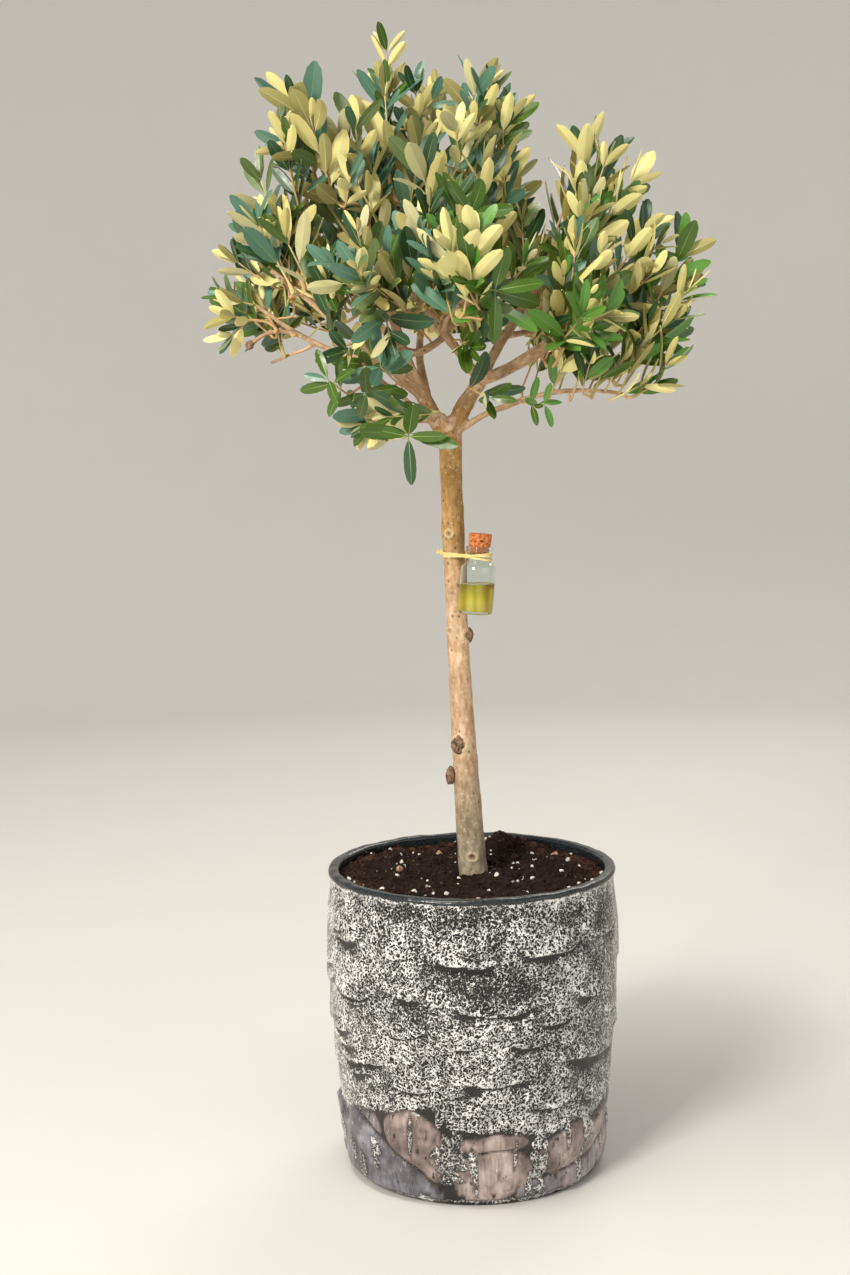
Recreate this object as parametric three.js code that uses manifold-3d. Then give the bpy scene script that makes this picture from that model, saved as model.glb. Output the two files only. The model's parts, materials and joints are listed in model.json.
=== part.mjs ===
// Potted olive tree: a young standard olive with a bare stem and a loose round crown, in a bulging
// glazed pot. A small corked bottle of oil hangs at the stem on a tie.
// Millimetres, +Z up. The origin is the centre of the pot's flat underside, and -Y is the front.

import * as THREE from 'three';
import { mergeVertices } from 'three/addons/utils/BufferGeometryUtils.js';
import Module from 'manifold-3d';

const wasm = await Module();
wasm.setup();

// Pot: half widths and heights of its outer wall, from the rounded foot to the rim, and of its
// inner wall, from the floor to the soil's edge and on to the rim.
const potFootRadius = 99;
const potFootRound = 13;
const potFootArc = [-Math.PI / 2, -0.3];
const potFootSteps = 2;
const potWall = [
  [112, 17],
  [119.5, 80],
  [124.8, 150],
  [127, 205],
  [123.3, 256],
];
const potWallSteps = 7;
const potHeight = 259;
const potInside = [
  [102, 14],
  [115.6, 150],
  [116.6, 249],
  [113.8, 256],
];
const rimRound = 3;
const potSides = 36;

// Soil: it lies a little below the rim, with a level seat for the trunk.
const soilTop = 249;
const soilSeatRadius = 34;
const soilSlope = [80, 248.4];

// Pieces that touch in the real tree keep this gap here.
const gap = 0.35;

// Trunk: its axis runs from the soil to the fork, and bends a little towards the left.
const trunkFoot = new THREE.Vector3(1.9, 10, soilTop);
const trunkTop = new THREE.Vector3(-13, 8, 641);
const trunkBend = -2.8;
const trunkFootWidth = 24.6;
const trunkWaistWidth = 18.4;
const trunkWaist = 0.7;
const trunkForkWidth = 22;
const trunkCrown = 0.7;
const rootFlare = 3.2;
const rootFlareHeight = 9;
const trunkSteps = 15;
const trunkSides = 12;

// Boughs. Each row holds the name, the parent, the share of the parent's length where the bough
// leaves it, the tip, how far the middle of the axis bows up and to the left of a straight line,
// and the widths at the root and the tip.
const boughs = [
  ['bough_right', 'trunk', 0.955, [16, 4, 675], [3, 0], [17, 12.5]],
  ['bough_front_right', 'bough_right', 0.9, [75, -34, 702], [-5, -4], [11, 11.5]],
  ['bough_up_left', 'bough_right', 0.88, [-50, -44, 752], [-2, 3], [9.5, 7.5]],
  ['bough_back_right', 'bough_right', 0.9, [88, 22, 775], [8, 5], [11, 7]],
  ['bough_left', 'trunk', 0.955, [-56, 18, 706], [-10, 0], [15.5, 12]],
  ['bough_left_upper', 'bough_left', 0.94, [-68, 28, 802], [-4, 2], [10.5, 7]],
  ['bough_inner', 'bough_left', 0.93, [14, 42, 770], [-26, -4], [8.5, 6]],
  ['bough_far_left', 'bough_left', 0.5, [-158, -18, 762], [1, 2], [9.5, 6]],
  ['bough_lower_left', 'bough_far_left', 0.25, [-172, 4, 735], [-8, -3], [7, 5]],
  ['bough_left_stub', 'bough_lower_left', 0.64, [-178, -12, 702], [7, 0], [5, 5]],
  ['bough_left_spur', 'bough_lower_left', 0.55, [-163, 12, 688], [-1, 0], [4.6, 4]],
  ['bough_low_left', 'trunk', 0.985, [-86, 12, 634], [4, 0], [5.5, 3.6]],
  ['bough_low_front', 'trunk', 0.985, [-46, -66, 634], [9, 3], [6, 4]],
  ['bough_low_side', 'bough_left', 0.3, [-84, -52, 684], [-3, 0], [5.5, 4]],
  ['bough_low_right', 'trunk', 0.96, [128, -22, 657], [15, 6], [7, 4.5]],
  ['bough_front', 'bough_up_left', 0.5, [8, -94, 740], [-4, -10], [6, 4.5]],
  ['bough_back_left', 'bough_left', 0.8, [-106, 82, 768], [3, 0], [8, 5.5]],
  ['bough_back', 'bough_left', 0.4, [-16, 108, 764], [10, 14], [9, 6]],
  ['bough_back_low_right', 'bough_back_right', 0.3, [84, 88, 724], [-3, 0], [7.5, 5]],
].map(([name, parent, at, tip, bow, width]) => ({ name, parent, at, tip, bow, width }));
const boughSides = 6;
const boughStep = 20;

// Masses of foliage. Each row holds the name, and the middle and the half sizes of the mass's box.
// A mass gives way to those above it.
const masses = [
  ['foliage_top_spike', [-66, 14, 918], [22, 23, 51]],
  ['foliage_upper_left', [-136, -24, 872], [33, 44, 56]],
  ['foliage_top_right', [17, -4, 882], [35, 42, 61]],
  ['foliage_right_upper', [111, 2, 826], [44, 52, 67]],
  ['foliage_far_right', [172, -10, 754], [39, 48, 58]],
  ['foliage_far_left', [-180, 8, 742], [36, 48, 46]],
  ['foliage_low_front', [-47, -80, 627], [45, 34, 41]],
  ['foliage_low_right', [134, -28, 686], [58, 50, 33]],
  ['foliage_top_middle', [-31, 36, 884], [32, 38, 52]],
  ['foliage_upper_middle', [-86, 0, 852], [35, 46, 62]],
  ['foliage_left', [-150, -14, 802], [42, 54, 58]],
  ['foliage_front', [7, -114, 762], [60, 52, 46]],
  ['foliage_front_left', [-90, -94, 766], [46, 50, 43]],
  ['foliage_centre', [-22, -52, 806], [44, 50, 57]],
  ['foliage_right', [94, -50, 762], [42, 50, 48]],
  ['foliage_low_left', [-100, -58, 686], [42, 38, 29]],
  ['foliage_low_back_left', [-86, 12, 632], [28, 28, 27]],
  ['foliage_front_right', [100, -98, 724], [36, 36, 36]],
  ['foliage_inner_right', [36, 40, 806], [38, 46, 46]],
  ['foliage_top_back_left', [-76, 76, 856], [46, 44, 44]],
  ['foliage_top_back_right', [22, 84, 846], [46, 46, 44]],
  ['foliage_back_left', [-112, 98, 796], [54, 56, 56]],
  ['foliage_back', [-18, 134, 792], [54, 54, 54]],
  ['foliage_back_right', [78, 110, 778], [54, 56, 50]],
  ['foliage_far_back_left', [-168, 66, 756], [36, 46, 44]],
  ['foliage_far_back_right', [150, 66, 742], [42, 48, 46]],
  ['foliage_low_back', [-20, 166, 758], [54, 36, 36]],
  ['foliage_low_back_right', [92, 98, 708], [48, 48, 32]],
].map(([name, middle, half]) => ({ name, middle, half }));
const massSides = 10;
const massRings = 7;
const lumpDepth = 0.13;
const broadLumps = [2.9, 2.6];
const smallLumps = [5.1, 2.2];

// Bottle: a corked glass bottle, nearly half full of oil. It leans with its body against the
// trunk. Half widths and heights of its outside, from the foot up, and of its inside, from the
// mouth down.
const bottleFoot = new THREE.Vector3(5.3, -11, 476);
const bottleTilt = THREE.MathUtils.degToRad(5);
const bottleHeight = 56.5;
const bottleOutside = [
  [13.5, 0],
  [15, 1.5],
  [15, 38],
  [13.4, 41.6],
  [10, 45.5],
  [10, 52.3],
  [11.3, 53.3],
  [11.3, 55.7],
  [10.5, bottleHeight],
];
const bottleInside = [
  [8.6, bottleHeight],
  [8.6, 44.5],
  [12.2, 41],
  [13.6, 37.5],
  [13.6, 2.6],
];
const bottleNeckRadius = 10;
const bottleSides = 16;
const oilLevel = 25;
const corkDepth = 7;
const corkHeight = 11;
const corkTopRadius = 9.7;
const corkChamfer = 0.7;

// Tie: one band of raffia round the trunk and the bottle's neck.
const tieHeight = 524.8;
const tieWidth = 4;
const tieThickness = 1.5;
const tieSlack = 0.45;
const tieCurveSteps = 6;

const colours = {
  pot: 0x5a5856,
  soil: 0x3a241b,
  bark: 0xb08a60,
  leaves: 0x54724a,
  glass: 0xdfe9e4,
  oil: 0xb5a42a,
  cork: 0xb5733f,
  raffia: 0xe2cf8a,
};

const material = (colour, roughness) =>
  new THREE.MeshStandardMaterial({ color: colours[colour], roughness, metalness: 0 });

function addMesh(parent, name, geometry, finish) {
  const mesh = new THREE.Mesh(geometry, finish);
  mesh.name = name;
  parent.add(mesh);
  return mesh;
}

// Closed mesh to solid and back, for cuts between neighbours.
function toSolid(geometry) {
  geometry.deleteAttribute('normal');
  geometry.deleteAttribute('uv');
  const merged = mergeVertices(geometry, 1e-4);
  return new wasm.Manifold(new wasm.Mesh({
    numProp: 3,
    vertProperties: new Float32Array(merged.attributes.position.array),
    triVerts: new Uint32Array(merged.index.array),
  }));
}

function toGeometry(solid) {
  const mesh = solid.getMesh();
  const geometry = new THREE.BufferGeometry();
  geometry.setAttribute('position', new THREE.BufferAttribute(mesh.vertProperties, 3));
  geometry.setIndex(new THREE.BufferAttribute(mesh.triVerts, 1));
  geometry.computeVertexNormals();
  return geometry;
}

const largestPiece = (solid) =>
  solid.decompose().reduce((best, piece) => (piece.volume() > best.volume() ? piece : best));

// The lathe turns about Y, so its result is stood up.
const lathe = (points, sides) =>
  new THREE.LatheGeometry(points.map(([r, z]) => new THREE.Vector2(r, z)), sides).rotateX(Math.PI / 2);

const mix = THREE.MathUtils.lerp;

function arcPoints(centre, radius, [from, to], steps) {
  return Array.from({ length: steps + 1 }, (_, i) => {
    const angle = mix(from, to, i / steps);
    return [centre[0] + radius * Math.cos(angle), centre[1] + radius * Math.sin(angle)];
  });
}

function potGeometry() {
  const foot = arcPoints([potFootRadius, potFootRound], potFootRound, potFootArc, potFootSteps);
  const wall = new THREE.SplineCurve(potWall.map(([r, z]) => new THREE.Vector2(r, z)));
  const outside = wall.getPoints(potWallSteps).map((point) => [point.x, point.y]);
  const rimOuter = outside[outside.length - 1][0] - rimRound;
  const rimInner = potInside[potInside.length - 1][0] + rimRound;
  const rim = [[rimOuter, potHeight], [rimInner, potHeight]];
  const inside = potInside.toReversed();
  return lathe([[0, 0], ...foot, ...outside, ...rim, ...inside, [0, potInside[0][1]]], potSides);
}

// The soil fills the pot up to its edge, the last but one point of the inner wall.
function soilGeometry() {
  const side = potInside.slice(0, -1).map(([r, z]) => [r - gap, z]);
  side[0][1] += gap;
  return lathe([[0, side[0][1]], ...side, soilSlope, [soilSeatRadius, soilTop], [0, soilTop]], potSides);
}

// Trunk axis and width at a share of its length, 0 at the soil and 1 at the fork.
function trunkAxis(share) {
  const point = trunkFoot.clone().lerp(trunkTop, share);
  point.x += 4 * share * (1 - share) * trunkBend;
  return point;
}

function trunkWidth(share) {
  const height = share * (trunkTop.z - trunkFoot.z);
  const flare = rootFlare * Math.exp(-height / rootFlareHeight);
  if (share < trunkWaist) return mix(trunkFootWidth, trunkWaistWidth, share / trunkWaist) + flare;
  const above = (share - trunkWaist) / (1 - trunkWaist);
  return mix(trunkWaistWidth, trunkForkWidth, above ** 3);
}

// The trunk is built of level rings, so its foot is a flat cut. Its top ring closes in to a crown.
function trunkSolid(extra = 0) {
  const geometry = new THREE.CylinderGeometry(1, 1, 1, trunkSides, trunkSteps);
  const position = geometry.attributes.position;
  for (let i = 0; i < position.count; i += 1) {
    const share = position.getY(i) + 0.5;
    const crown = share > 0.999 ? trunkCrown : 1;
    const centre = trunkAxis(share);
    const radius = crown * (trunkWidth(share) / 2) + extra;
    position.setXYZ(i, centre.x + radius * position.getX(i), centre.y - radius * position.getZ(i),
      centre.z + (share > 0.5 ? extra : -extra));
  }
  return toSolid(geometry);
}

// Axis of a bough as a curve, found from its parent's axis.
const up = new THREE.Vector3(0, 0, 1);
const axes = { trunk: trunkAxis };

function boughAxis({ parent, at, tip, bow }) {
  const start = axes[parent](at);
  const end = new THREE.Vector3(...tip);
  const side = up.clone().cross(end.clone().sub(start)).normalize();
  return (share) => {
    const bend = 4 * share * (1 - share);
    const point = start.clone().lerp(end, share);
    return point.addScaledVector(up, bend * bow[0]).addScaledVector(side, bend * bow[1]);
  };
}

class AxisCurve extends THREE.Curve {
  constructor(axis) {
    super();
    this.axis = axis;
  }

  getPoint(share) {
    return this.axis(share);
  }
}

// A bough is a cylinder bent along its axis and tapered from root to tip.
function boughSolid(bough, extra = 0) {
  const curve = new AxisCurve(axes[bough.name]);
  const steps = Math.max(3, Math.round(curve.getLength() / boughStep));
  const frames = curve.computeFrenetFrames(steps, false);
  const geometry = new THREE.CylinderGeometry(1, 1, 1, boughSides, steps);
  const position = geometry.attributes.position;
  for (let i = 0; i < position.count; i += 1) {
    const share = position.getY(i) + 0.5;
    const ring = Math.round(share * steps);
    const radius = mix(bough.width[0], bough.width[1], share) / 2 + extra;
    const point = curve.getPointAt(share)
      .addScaledVector(frames.normals[ring], radius * position.getX(i))
      .addScaledVector(frames.binormals[ring], -radius * position.getZ(i));
    position.setXYZ(i, point.x, point.y, point.z);
  }
  return toSolid(geometry);
}

// A mass is a ball with its own lumps and hollows, stretched to fill its box.
function massSolid({ middle, half }, seed, extra = 0) {
  const geometry = new THREE.SphereGeometry(1, massSides, massRings);
  const position = geometry.attributes.position;
  const direction = new THREE.Vector3();
  for (let i = 0; i < position.count; i += 1) {
    direction.fromBufferAttribute(position, i);
    const broad = Math.sin(broadLumps[0] * direction.x + 1.7 * seed)
      * Math.cos(broadLumps[1] * direction.y - 2.3 * seed);
    const small = Math.sin(smallLumps[0] * direction.z + smallLumps[1] * direction.x + 0.9 * seed);
    direction.multiplyScalar(1 + lumpDepth * (broad + 0.6 * small));
    position.setXYZ(i, direction.x, direction.y, direction.z);
  }
  geometry.computeBoundingBox();
  const box = geometry.boundingBox;
  const centre = box.getCenter(new THREE.Vector3());
  const size = box.getSize(new THREE.Vector3());
  geometry.translate(-centre.x, -centre.y, -centre.z);
  geometry.scale(...['x', 'y', 'z'].map((axis, i) => (2 * (half[i] + extra)) / size[axis]));
  geometry.translate(...middle);
  return toSolid(geometry);
}

// Every mass gives way to the masses before it.
function addMasses(tree, finish) {
  const taken = [];
  masses.forEach((mass, index) => {
    let solid = massSolid(mass, index);
    taken.forEach((other) => { solid = solid.subtract(other); });
    addMesh(tree, mass.name, toGeometry(largestPiece(solid)), finish);
    taken.push(massSolid(mass, index, gap));
  });
  return taken;
}

// Every bough gives way to its elders and ends where it enters a mass.
function addTrunkAndBoughs(tree, finish, massCutters) {
  addMesh(tree, 'trunk', toGeometry(trunkSolid()), finish);
  const taken = [trunkSolid(gap)];
  boughs.forEach((bough) => {
    axes[bough.name] = boughAxis(bough);
    let solid = boughSolid(bough);
    [...taken, ...massCutters].forEach((other) => { solid = solid.subtract(other); });
    addMesh(tree, bough.name, toGeometry(largestPiece(solid)), finish);
    taken.push(boughSolid(bough, gap));
  });
}

function bottleGeometry() {
  const floor = bottleInside[bottleInside.length - 1][1];
  return lathe([[0, 0], ...bottleOutside, ...bottleInside, [0, floor]], bottleSides);
}

// The oil's top stays level while the bottle leans.
function oilGeometry() {
  const [radius, floor] = bottleInside[bottleInside.length - 1];
  const foot = floor + gap;
  const edge = radius - gap;
  const geometry = lathe([[0, foot], [edge, foot], [edge, oilLevel], [0, oilLevel]], bottleSides);
  const position = geometry.attributes.position;
  for (let i = 0; i < position.count; i += 1) {
    if (position.getZ(i) > foot + 1) {
      position.setZ(i, oilLevel + position.getX(i) * Math.tan(bottleTilt));
    }
  }
  return geometry;
}

function corkGeometry() {
  const plug = bottleInside[0][0] - gap;
  return lathe([[0, -corkDepth], [plug - corkChamfer, -corkDepth], [plug, gap], [corkTopRadius, 2 * gap],
    [corkTopRadius, corkHeight - corkChamfer], [corkTopRadius - corkChamfer, corkHeight],
    [0, corkHeight]], bottleSides);
}

// Outline round two circles, as a belt runs round two wheels.
function beltOutline(path, wheels) {
  const [a, b] = wheels;
  const across = new THREE.Vector2().subVectors(b.centre, a.centre);
  const spread = Math.acos((a.radius - b.radius) / across.length());
  const heading = across.angle();
  path.absarc(a.centre.x, a.centre.y, a.radius, heading + spread, heading - spread + 2 * Math.PI, false);
  path.absarc(b.centre.x, b.centre.y, b.radius, heading - spread, heading + spread, false);
  path.closePath();
  return path;
}

function tieGeometry() {
  const share = (tieHeight - trunkFoot.z) / (trunkTop.z - trunkFoot.z);
  const stem = trunkAxis(share);
  const neck = bottleFoot.x + (tieHeight - bottleFoot.z) * Math.tan(bottleTilt);
  const wheels = (grow) => [
    { centre: new THREE.Vector2(stem.x, stem.y), radius: trunkWidth(share) / 2 + tieSlack + grow },
    { centre: new THREE.Vector2(neck, bottleFoot.y), radius: bottleNeckRadius + tieSlack + grow },
  ];
  const shape = beltOutline(new THREE.Shape(), wheels(tieThickness));
  shape.holes.push(beltOutline(new THREE.Path(), wheels(0)));
  const options = { depth: tieWidth, bevelEnabled: false, curveSegments: tieCurveSteps };
  return new THREE.ExtrudeGeometry(shape, options).translate(0, 0, tieHeight - tieWidth / 2);
}

function addBottle(tree) {
  const bottle = new THREE.Group();
  bottle.position.copy(bottleFoot);
  bottle.rotation.y = bottleTilt;
  addMesh(bottle, 'bottle_glass', bottleGeometry(), material('glass', 0.05));
  addMesh(bottle, 'bottle_oil', oilGeometry(), material('oil', 0.1));
  const cork = addMesh(bottle, 'bottle_cork', corkGeometry(), material('cork', 0.9));
  cork.position.z = bottleHeight;
  tree.add(bottle);
  addMesh(tree, 'bottle_tie', tieGeometry(), material('raffia', 0.8));
}

const tree = new THREE.Group();
addMesh(tree, 'pot', potGeometry(), material('pot', 0.6));
addMesh(tree, 'soil', soilGeometry(), material('soil', 1));
const massCutters = addMasses(tree, material('leaves', 0.6));
addTrunkAndBoughs(tree, material('bark', 0.8), massCutters);
addBottle(tree);

export default tree;
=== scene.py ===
# A young olive tree in a glazed pot, with a small corked bottle of oil tied to its stem.
# Each piece is made in the frame's own place, in metres; the tables below are in millimetres.
import json
import math
import random

import bmesh
import bpy
import numpy as np
from mathutils import Matrix, Vector, kdtree, noise

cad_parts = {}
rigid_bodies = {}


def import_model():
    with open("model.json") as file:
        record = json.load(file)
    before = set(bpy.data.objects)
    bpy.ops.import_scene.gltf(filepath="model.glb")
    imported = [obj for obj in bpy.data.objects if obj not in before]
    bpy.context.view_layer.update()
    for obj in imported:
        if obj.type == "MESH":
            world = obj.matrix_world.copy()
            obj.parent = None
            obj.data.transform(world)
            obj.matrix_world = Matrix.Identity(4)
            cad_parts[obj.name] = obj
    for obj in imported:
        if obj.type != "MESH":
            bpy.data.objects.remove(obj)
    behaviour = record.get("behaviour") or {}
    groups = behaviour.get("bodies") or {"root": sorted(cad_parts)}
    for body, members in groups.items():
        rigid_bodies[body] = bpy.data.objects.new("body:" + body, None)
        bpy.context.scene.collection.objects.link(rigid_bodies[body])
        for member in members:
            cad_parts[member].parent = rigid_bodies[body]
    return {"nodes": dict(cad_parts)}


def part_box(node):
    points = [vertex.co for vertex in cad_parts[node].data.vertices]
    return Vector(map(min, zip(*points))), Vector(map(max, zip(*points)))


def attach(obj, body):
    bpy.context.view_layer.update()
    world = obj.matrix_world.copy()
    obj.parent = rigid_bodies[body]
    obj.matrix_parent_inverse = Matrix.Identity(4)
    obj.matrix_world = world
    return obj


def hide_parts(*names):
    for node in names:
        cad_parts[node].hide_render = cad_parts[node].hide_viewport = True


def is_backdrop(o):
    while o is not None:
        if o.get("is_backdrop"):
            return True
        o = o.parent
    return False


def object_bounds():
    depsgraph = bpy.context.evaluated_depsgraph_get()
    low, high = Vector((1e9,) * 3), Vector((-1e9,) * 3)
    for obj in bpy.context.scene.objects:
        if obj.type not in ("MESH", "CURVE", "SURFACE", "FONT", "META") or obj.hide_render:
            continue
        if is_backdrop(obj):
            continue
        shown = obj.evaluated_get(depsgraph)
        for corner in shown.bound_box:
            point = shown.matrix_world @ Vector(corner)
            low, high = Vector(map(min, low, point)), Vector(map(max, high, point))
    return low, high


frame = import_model()
cad_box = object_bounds()

MM = 0.001
UP = np.array((0.0, 0.0, 1.0))
BODY = "root"

# The kinds of node that come often in the materials. Mix takes its share and two colours at 0, 6 and
# 7 and gives a colour at 2; map range takes a value, its range and the new range at 0 to 4
MIX, RANGE, MATH = "ShaderNodeMix", "ShaderNodeMapRange", "ShaderNodeMath"
NOISE, CELLS, CARRIED = "ShaderNodeTexNoise", "ShaderNodeTexVoronoi", "ShaderNodeAttribute"

# The camera, fitted to the picture's 850 by 1275 frame
CAMERA_PLACE = (-36.79, -1449.70, 615.29)
CAMERA_PITCH = math.radians(6.298)
CAMERA_ROLL = math.radians(0.9325)
CAMERA_LENS = 48.532

# The pale floor and the soft bend by which it rises into a round wall, far outside the plant
FLOOR_FLAT, FLOOR_RADIUS, FLOOR_BEND, WALL_HEIGHT = 900, 2600, 1200, 3200
# The soft lights, as (name, place in metres, size in metres, power, colour), what they aim at, and
# the brightness of the room
LIGHTS = [("key", (-1.5, -2.2, 1.8), 0.8, 80, "#FFF9F0"), ("top", (-0.6, -0.4, 3.1), 1.0, 40, "#FFFAF2"),
          ("fill", (2.1, -1.8, 1.2), 1.6, 9, "#F2F6FF"), ("rim", (0.9, 2.0, 2.2), 1.4, 26, "#FFF9F0")]
LIGHTS_AIM = (0, 0, 0.55)
ROOM_LIGHT = 0.37

# The pot: its foot, its wall as (radius, height), its lip, and its inside from the lip down
POT_FOOT_RADIUS, POT_FOOT_ROUND = 99, 13
POT_WALL = [(112, 17), (119.5, 80), (124.8, 150), (127, 205), (123.3, 256)]
POT_LIP_HEIGHT, POT_LIP_ROUND = 256, 3
POT_INSIDE = [(113.8, 256), (115.2, 250), (116.6, 245), (117, 242), (116.9, 230), (116.4, 190),
              (115.6, 150), (112, 90), (106, 30), (102, 14), (60, 14), (0, 14)]
POT_COLUMNS, POT_WALL_ROWS = 480, 150
# The radii at which the glaze's noises and its stones are measured round the wall
FLOW_RADIUS, STONE_RADIUS = 122, 114
# What the wall carries for its material, in the order that pot_relief gives it
GLAZE_SHARES = ("white_glaze", "fold_crest", "bare_stone", "lip_glaze", "stone_tint")

# The folds of glaze that hang over each other, as (degrees round from the front, height of the
# lower edge, half width in degrees, rise of its ends, how proud it stands, height of the fold)
GLAZE_FOLDS = [
    (-60, 211, 13, 12, 3.4, 44), (-36, 204, 11, 6, 1.5, 38), (-4, 205, 16, 6, 1.6, 42),
    (30, 210, 15, 12, 2.2, 44), (60, 214, 15, 8, 1.9, 40),
    (-78, 182, 11, 8, 1.8, 40), (-58, 160, 12, 7, 3.4, 42), (-27, 174, 14, 8, 1.6, 36),
    (6, 165, 16, 7, 3.2, 42), (55, 166, 18, 9, 3.6, 42), (30, 150, 12, 7, 1.7, 34),
    (-70, 130, 12, 6, 2.6, 38), (-29, 141, 10, 7, 2.0, 34), (-8, 136, 13, 8, 1.5, 30),
    (22, 134, 12, 6, 1.8, 34), (55, 113, 24, 6, 3.6, 42), (-56, 98, 12, 7, 3.2, 42),
    (8, 104, 15, 4, 3.6, 38), (-28, 96, 10, 5, 2.2, 36), (70, 142, 12, 8, 1.8, 36),
    (62, 75, 17, 5, 2.8, 34), (2, 64, 14, 4, 2.4, 34), (30, 78, 12, 5, 1.8, 32),
]
# The heights of the folds on the far side, and the degrees between which they lie
FOLD_ROWS = [212, 170, 133, 100]
FOLD_GAP = (70, 290)

# The bare stones that show below the glaze, each in front of those before it, as (degrees, height,
# half width, half height, how proud, turn in degrees by which it rises to the right, how blue)
GLAZE_STONES = [
    (-86, 60, 26, 18, 2.6, -6, 0.9), (-58, 62, 30, 15, 2.2, -18, 0.7), (-5, 43, 15, 14, 2.4, 0, 0.9),
    (-25, 50, 36, 25, 3.6, -38, 0.1), (-54, 17, 115, 38, 4.2, -31, 1.0),
    (6, 54, 30, 8, 2.2, 2, 0.3),
    (44, 15, 48, 16, 3.4, 5, 0.6), (47, 43, 50, 18, 4.2, 13, 0.1), (6, 27, 33, 21, 4.4, 6, 0.0),
    (78, 24, 28, 22, 3.2, 4, 0.5), (27, 10, 22, 10, 2.4, 0, 0.8),
]
# The stones on the far side: the height and half height of each row, and where the rows begin and end
STONE_ROWS = [(16, 13), (45, 17)]
STONE_GAP = (74, 276)
# How far down the white glaze reaches, as (degrees, height)
GLAZE_EDGE = [(-180, 62), (-80, 60), (-55, 63), (-40, 71), (-20, 73), (-4, 61), (30, 59), (75, 63),
              (180, 62)]
# Where the white glaze ran down between the stones, as (degrees, height, half width in degrees,
# half height)
GLAZE_RUNS = [(-12, 40, 7, 24), (26, 34, 3.4, 32), (52, 54, 3.2, 14), (-46, 38, 2.8, 14),
              (-62, 30, 2.4, 11)]
# Where the glaze ran thin and shows less speckle, as (degrees, height, half width, half height)
THIN_GLAZE = [(-6, 246, 30, 10), (40, 240, 12, 9), (62, 232, 10, 16), (4, 186, 20, 16),
              (8, 122, 18, 12), (-22, 156, 14, 14), (90, 241, 16, 9), (170, 240, 22, 10),
              (232, 241, 16, 9), (285, 240, 14, 8)]

# The soil's height at distances from the middle, and its sides and floor
SOIL_LINE = [(0, 249.9), (16, 249.5), (40, 249.0), (80, 249.4), (104, 250.2), (115.2, 250.6)]
SOIL_FLOOR = [(116.4, 242), (115.0, 150), (101.5, 14.4), (0, 14.4)]
# Mounds and hollows of the soil's top, as (x, depth, how high, how wide)
SOIL_MOUNDS = [(30, 93, 13, 19), (52, 84, 6, 18), (-72, 52, 3.0, 34), (-52, -22, -3.0, 20),
               (84, -20, -1.6, 30), (40, -62, 1.4, 26)]
# Points above this height belong to the soil's top; grains lie between these distances on it
SOIL_TOP_FROM, GRAIN_RING = 245.5, (15, 113)
# The kinds of grain, as (dark, pale, roughness)
GRAIN_KINDS = {"peat_crumb": ("#120A07", "#352018", 0.95), "bark_crumb": ("#38241A", "#6B4A36", 0.9),
               "expanded_rock_grain": ("#CFCBC2", "#FAF8F2", 0.7),
               "husk_chip": ("#8C6450", "#CDA690", 0.8)}
# What lies on the soil, as (name, how many to the square metre, smallest, largest, seed, kind)
SOIL_GRAINS = [("peat_crumbs", 52000, 0.6, 2.5, 3, "peat_crumb"),
               ("bark_crumbs", 4200, 0.5, 1.7, 4, "bark_crumb"),
               ("white_grains", 2300, 0.6, 2.9, 5, "expanded_rock_grain"),
               ("husk_chips", 150, 2.6, 4.6, 8, "husk_chip"),
               ("peat_lumps", 4200, 1.6, 4.2, 7, "peat_crumb")]

# The stem: a straight line with a slight bend, and its width at each height
TRUNK_FOOT, TRUNK_TOP, TRUNK_BEND = (2, 10, 246), (-13, 8, 641), -2.8
TRUNK_WIDTHS = [(246, 25.4), (251, 25.6), (262, 25.2), (283, 24), (330, 22.3), (361, 21.3), (392, 19.7),
                (454, 19.2), (472, 18.2), (523, 18.2), (535, 18.8), (546, 20.2), (556, 19.2),
                (572, 18.6), (613, 19.6), (630, 21), (641, 21.5)]

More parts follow.
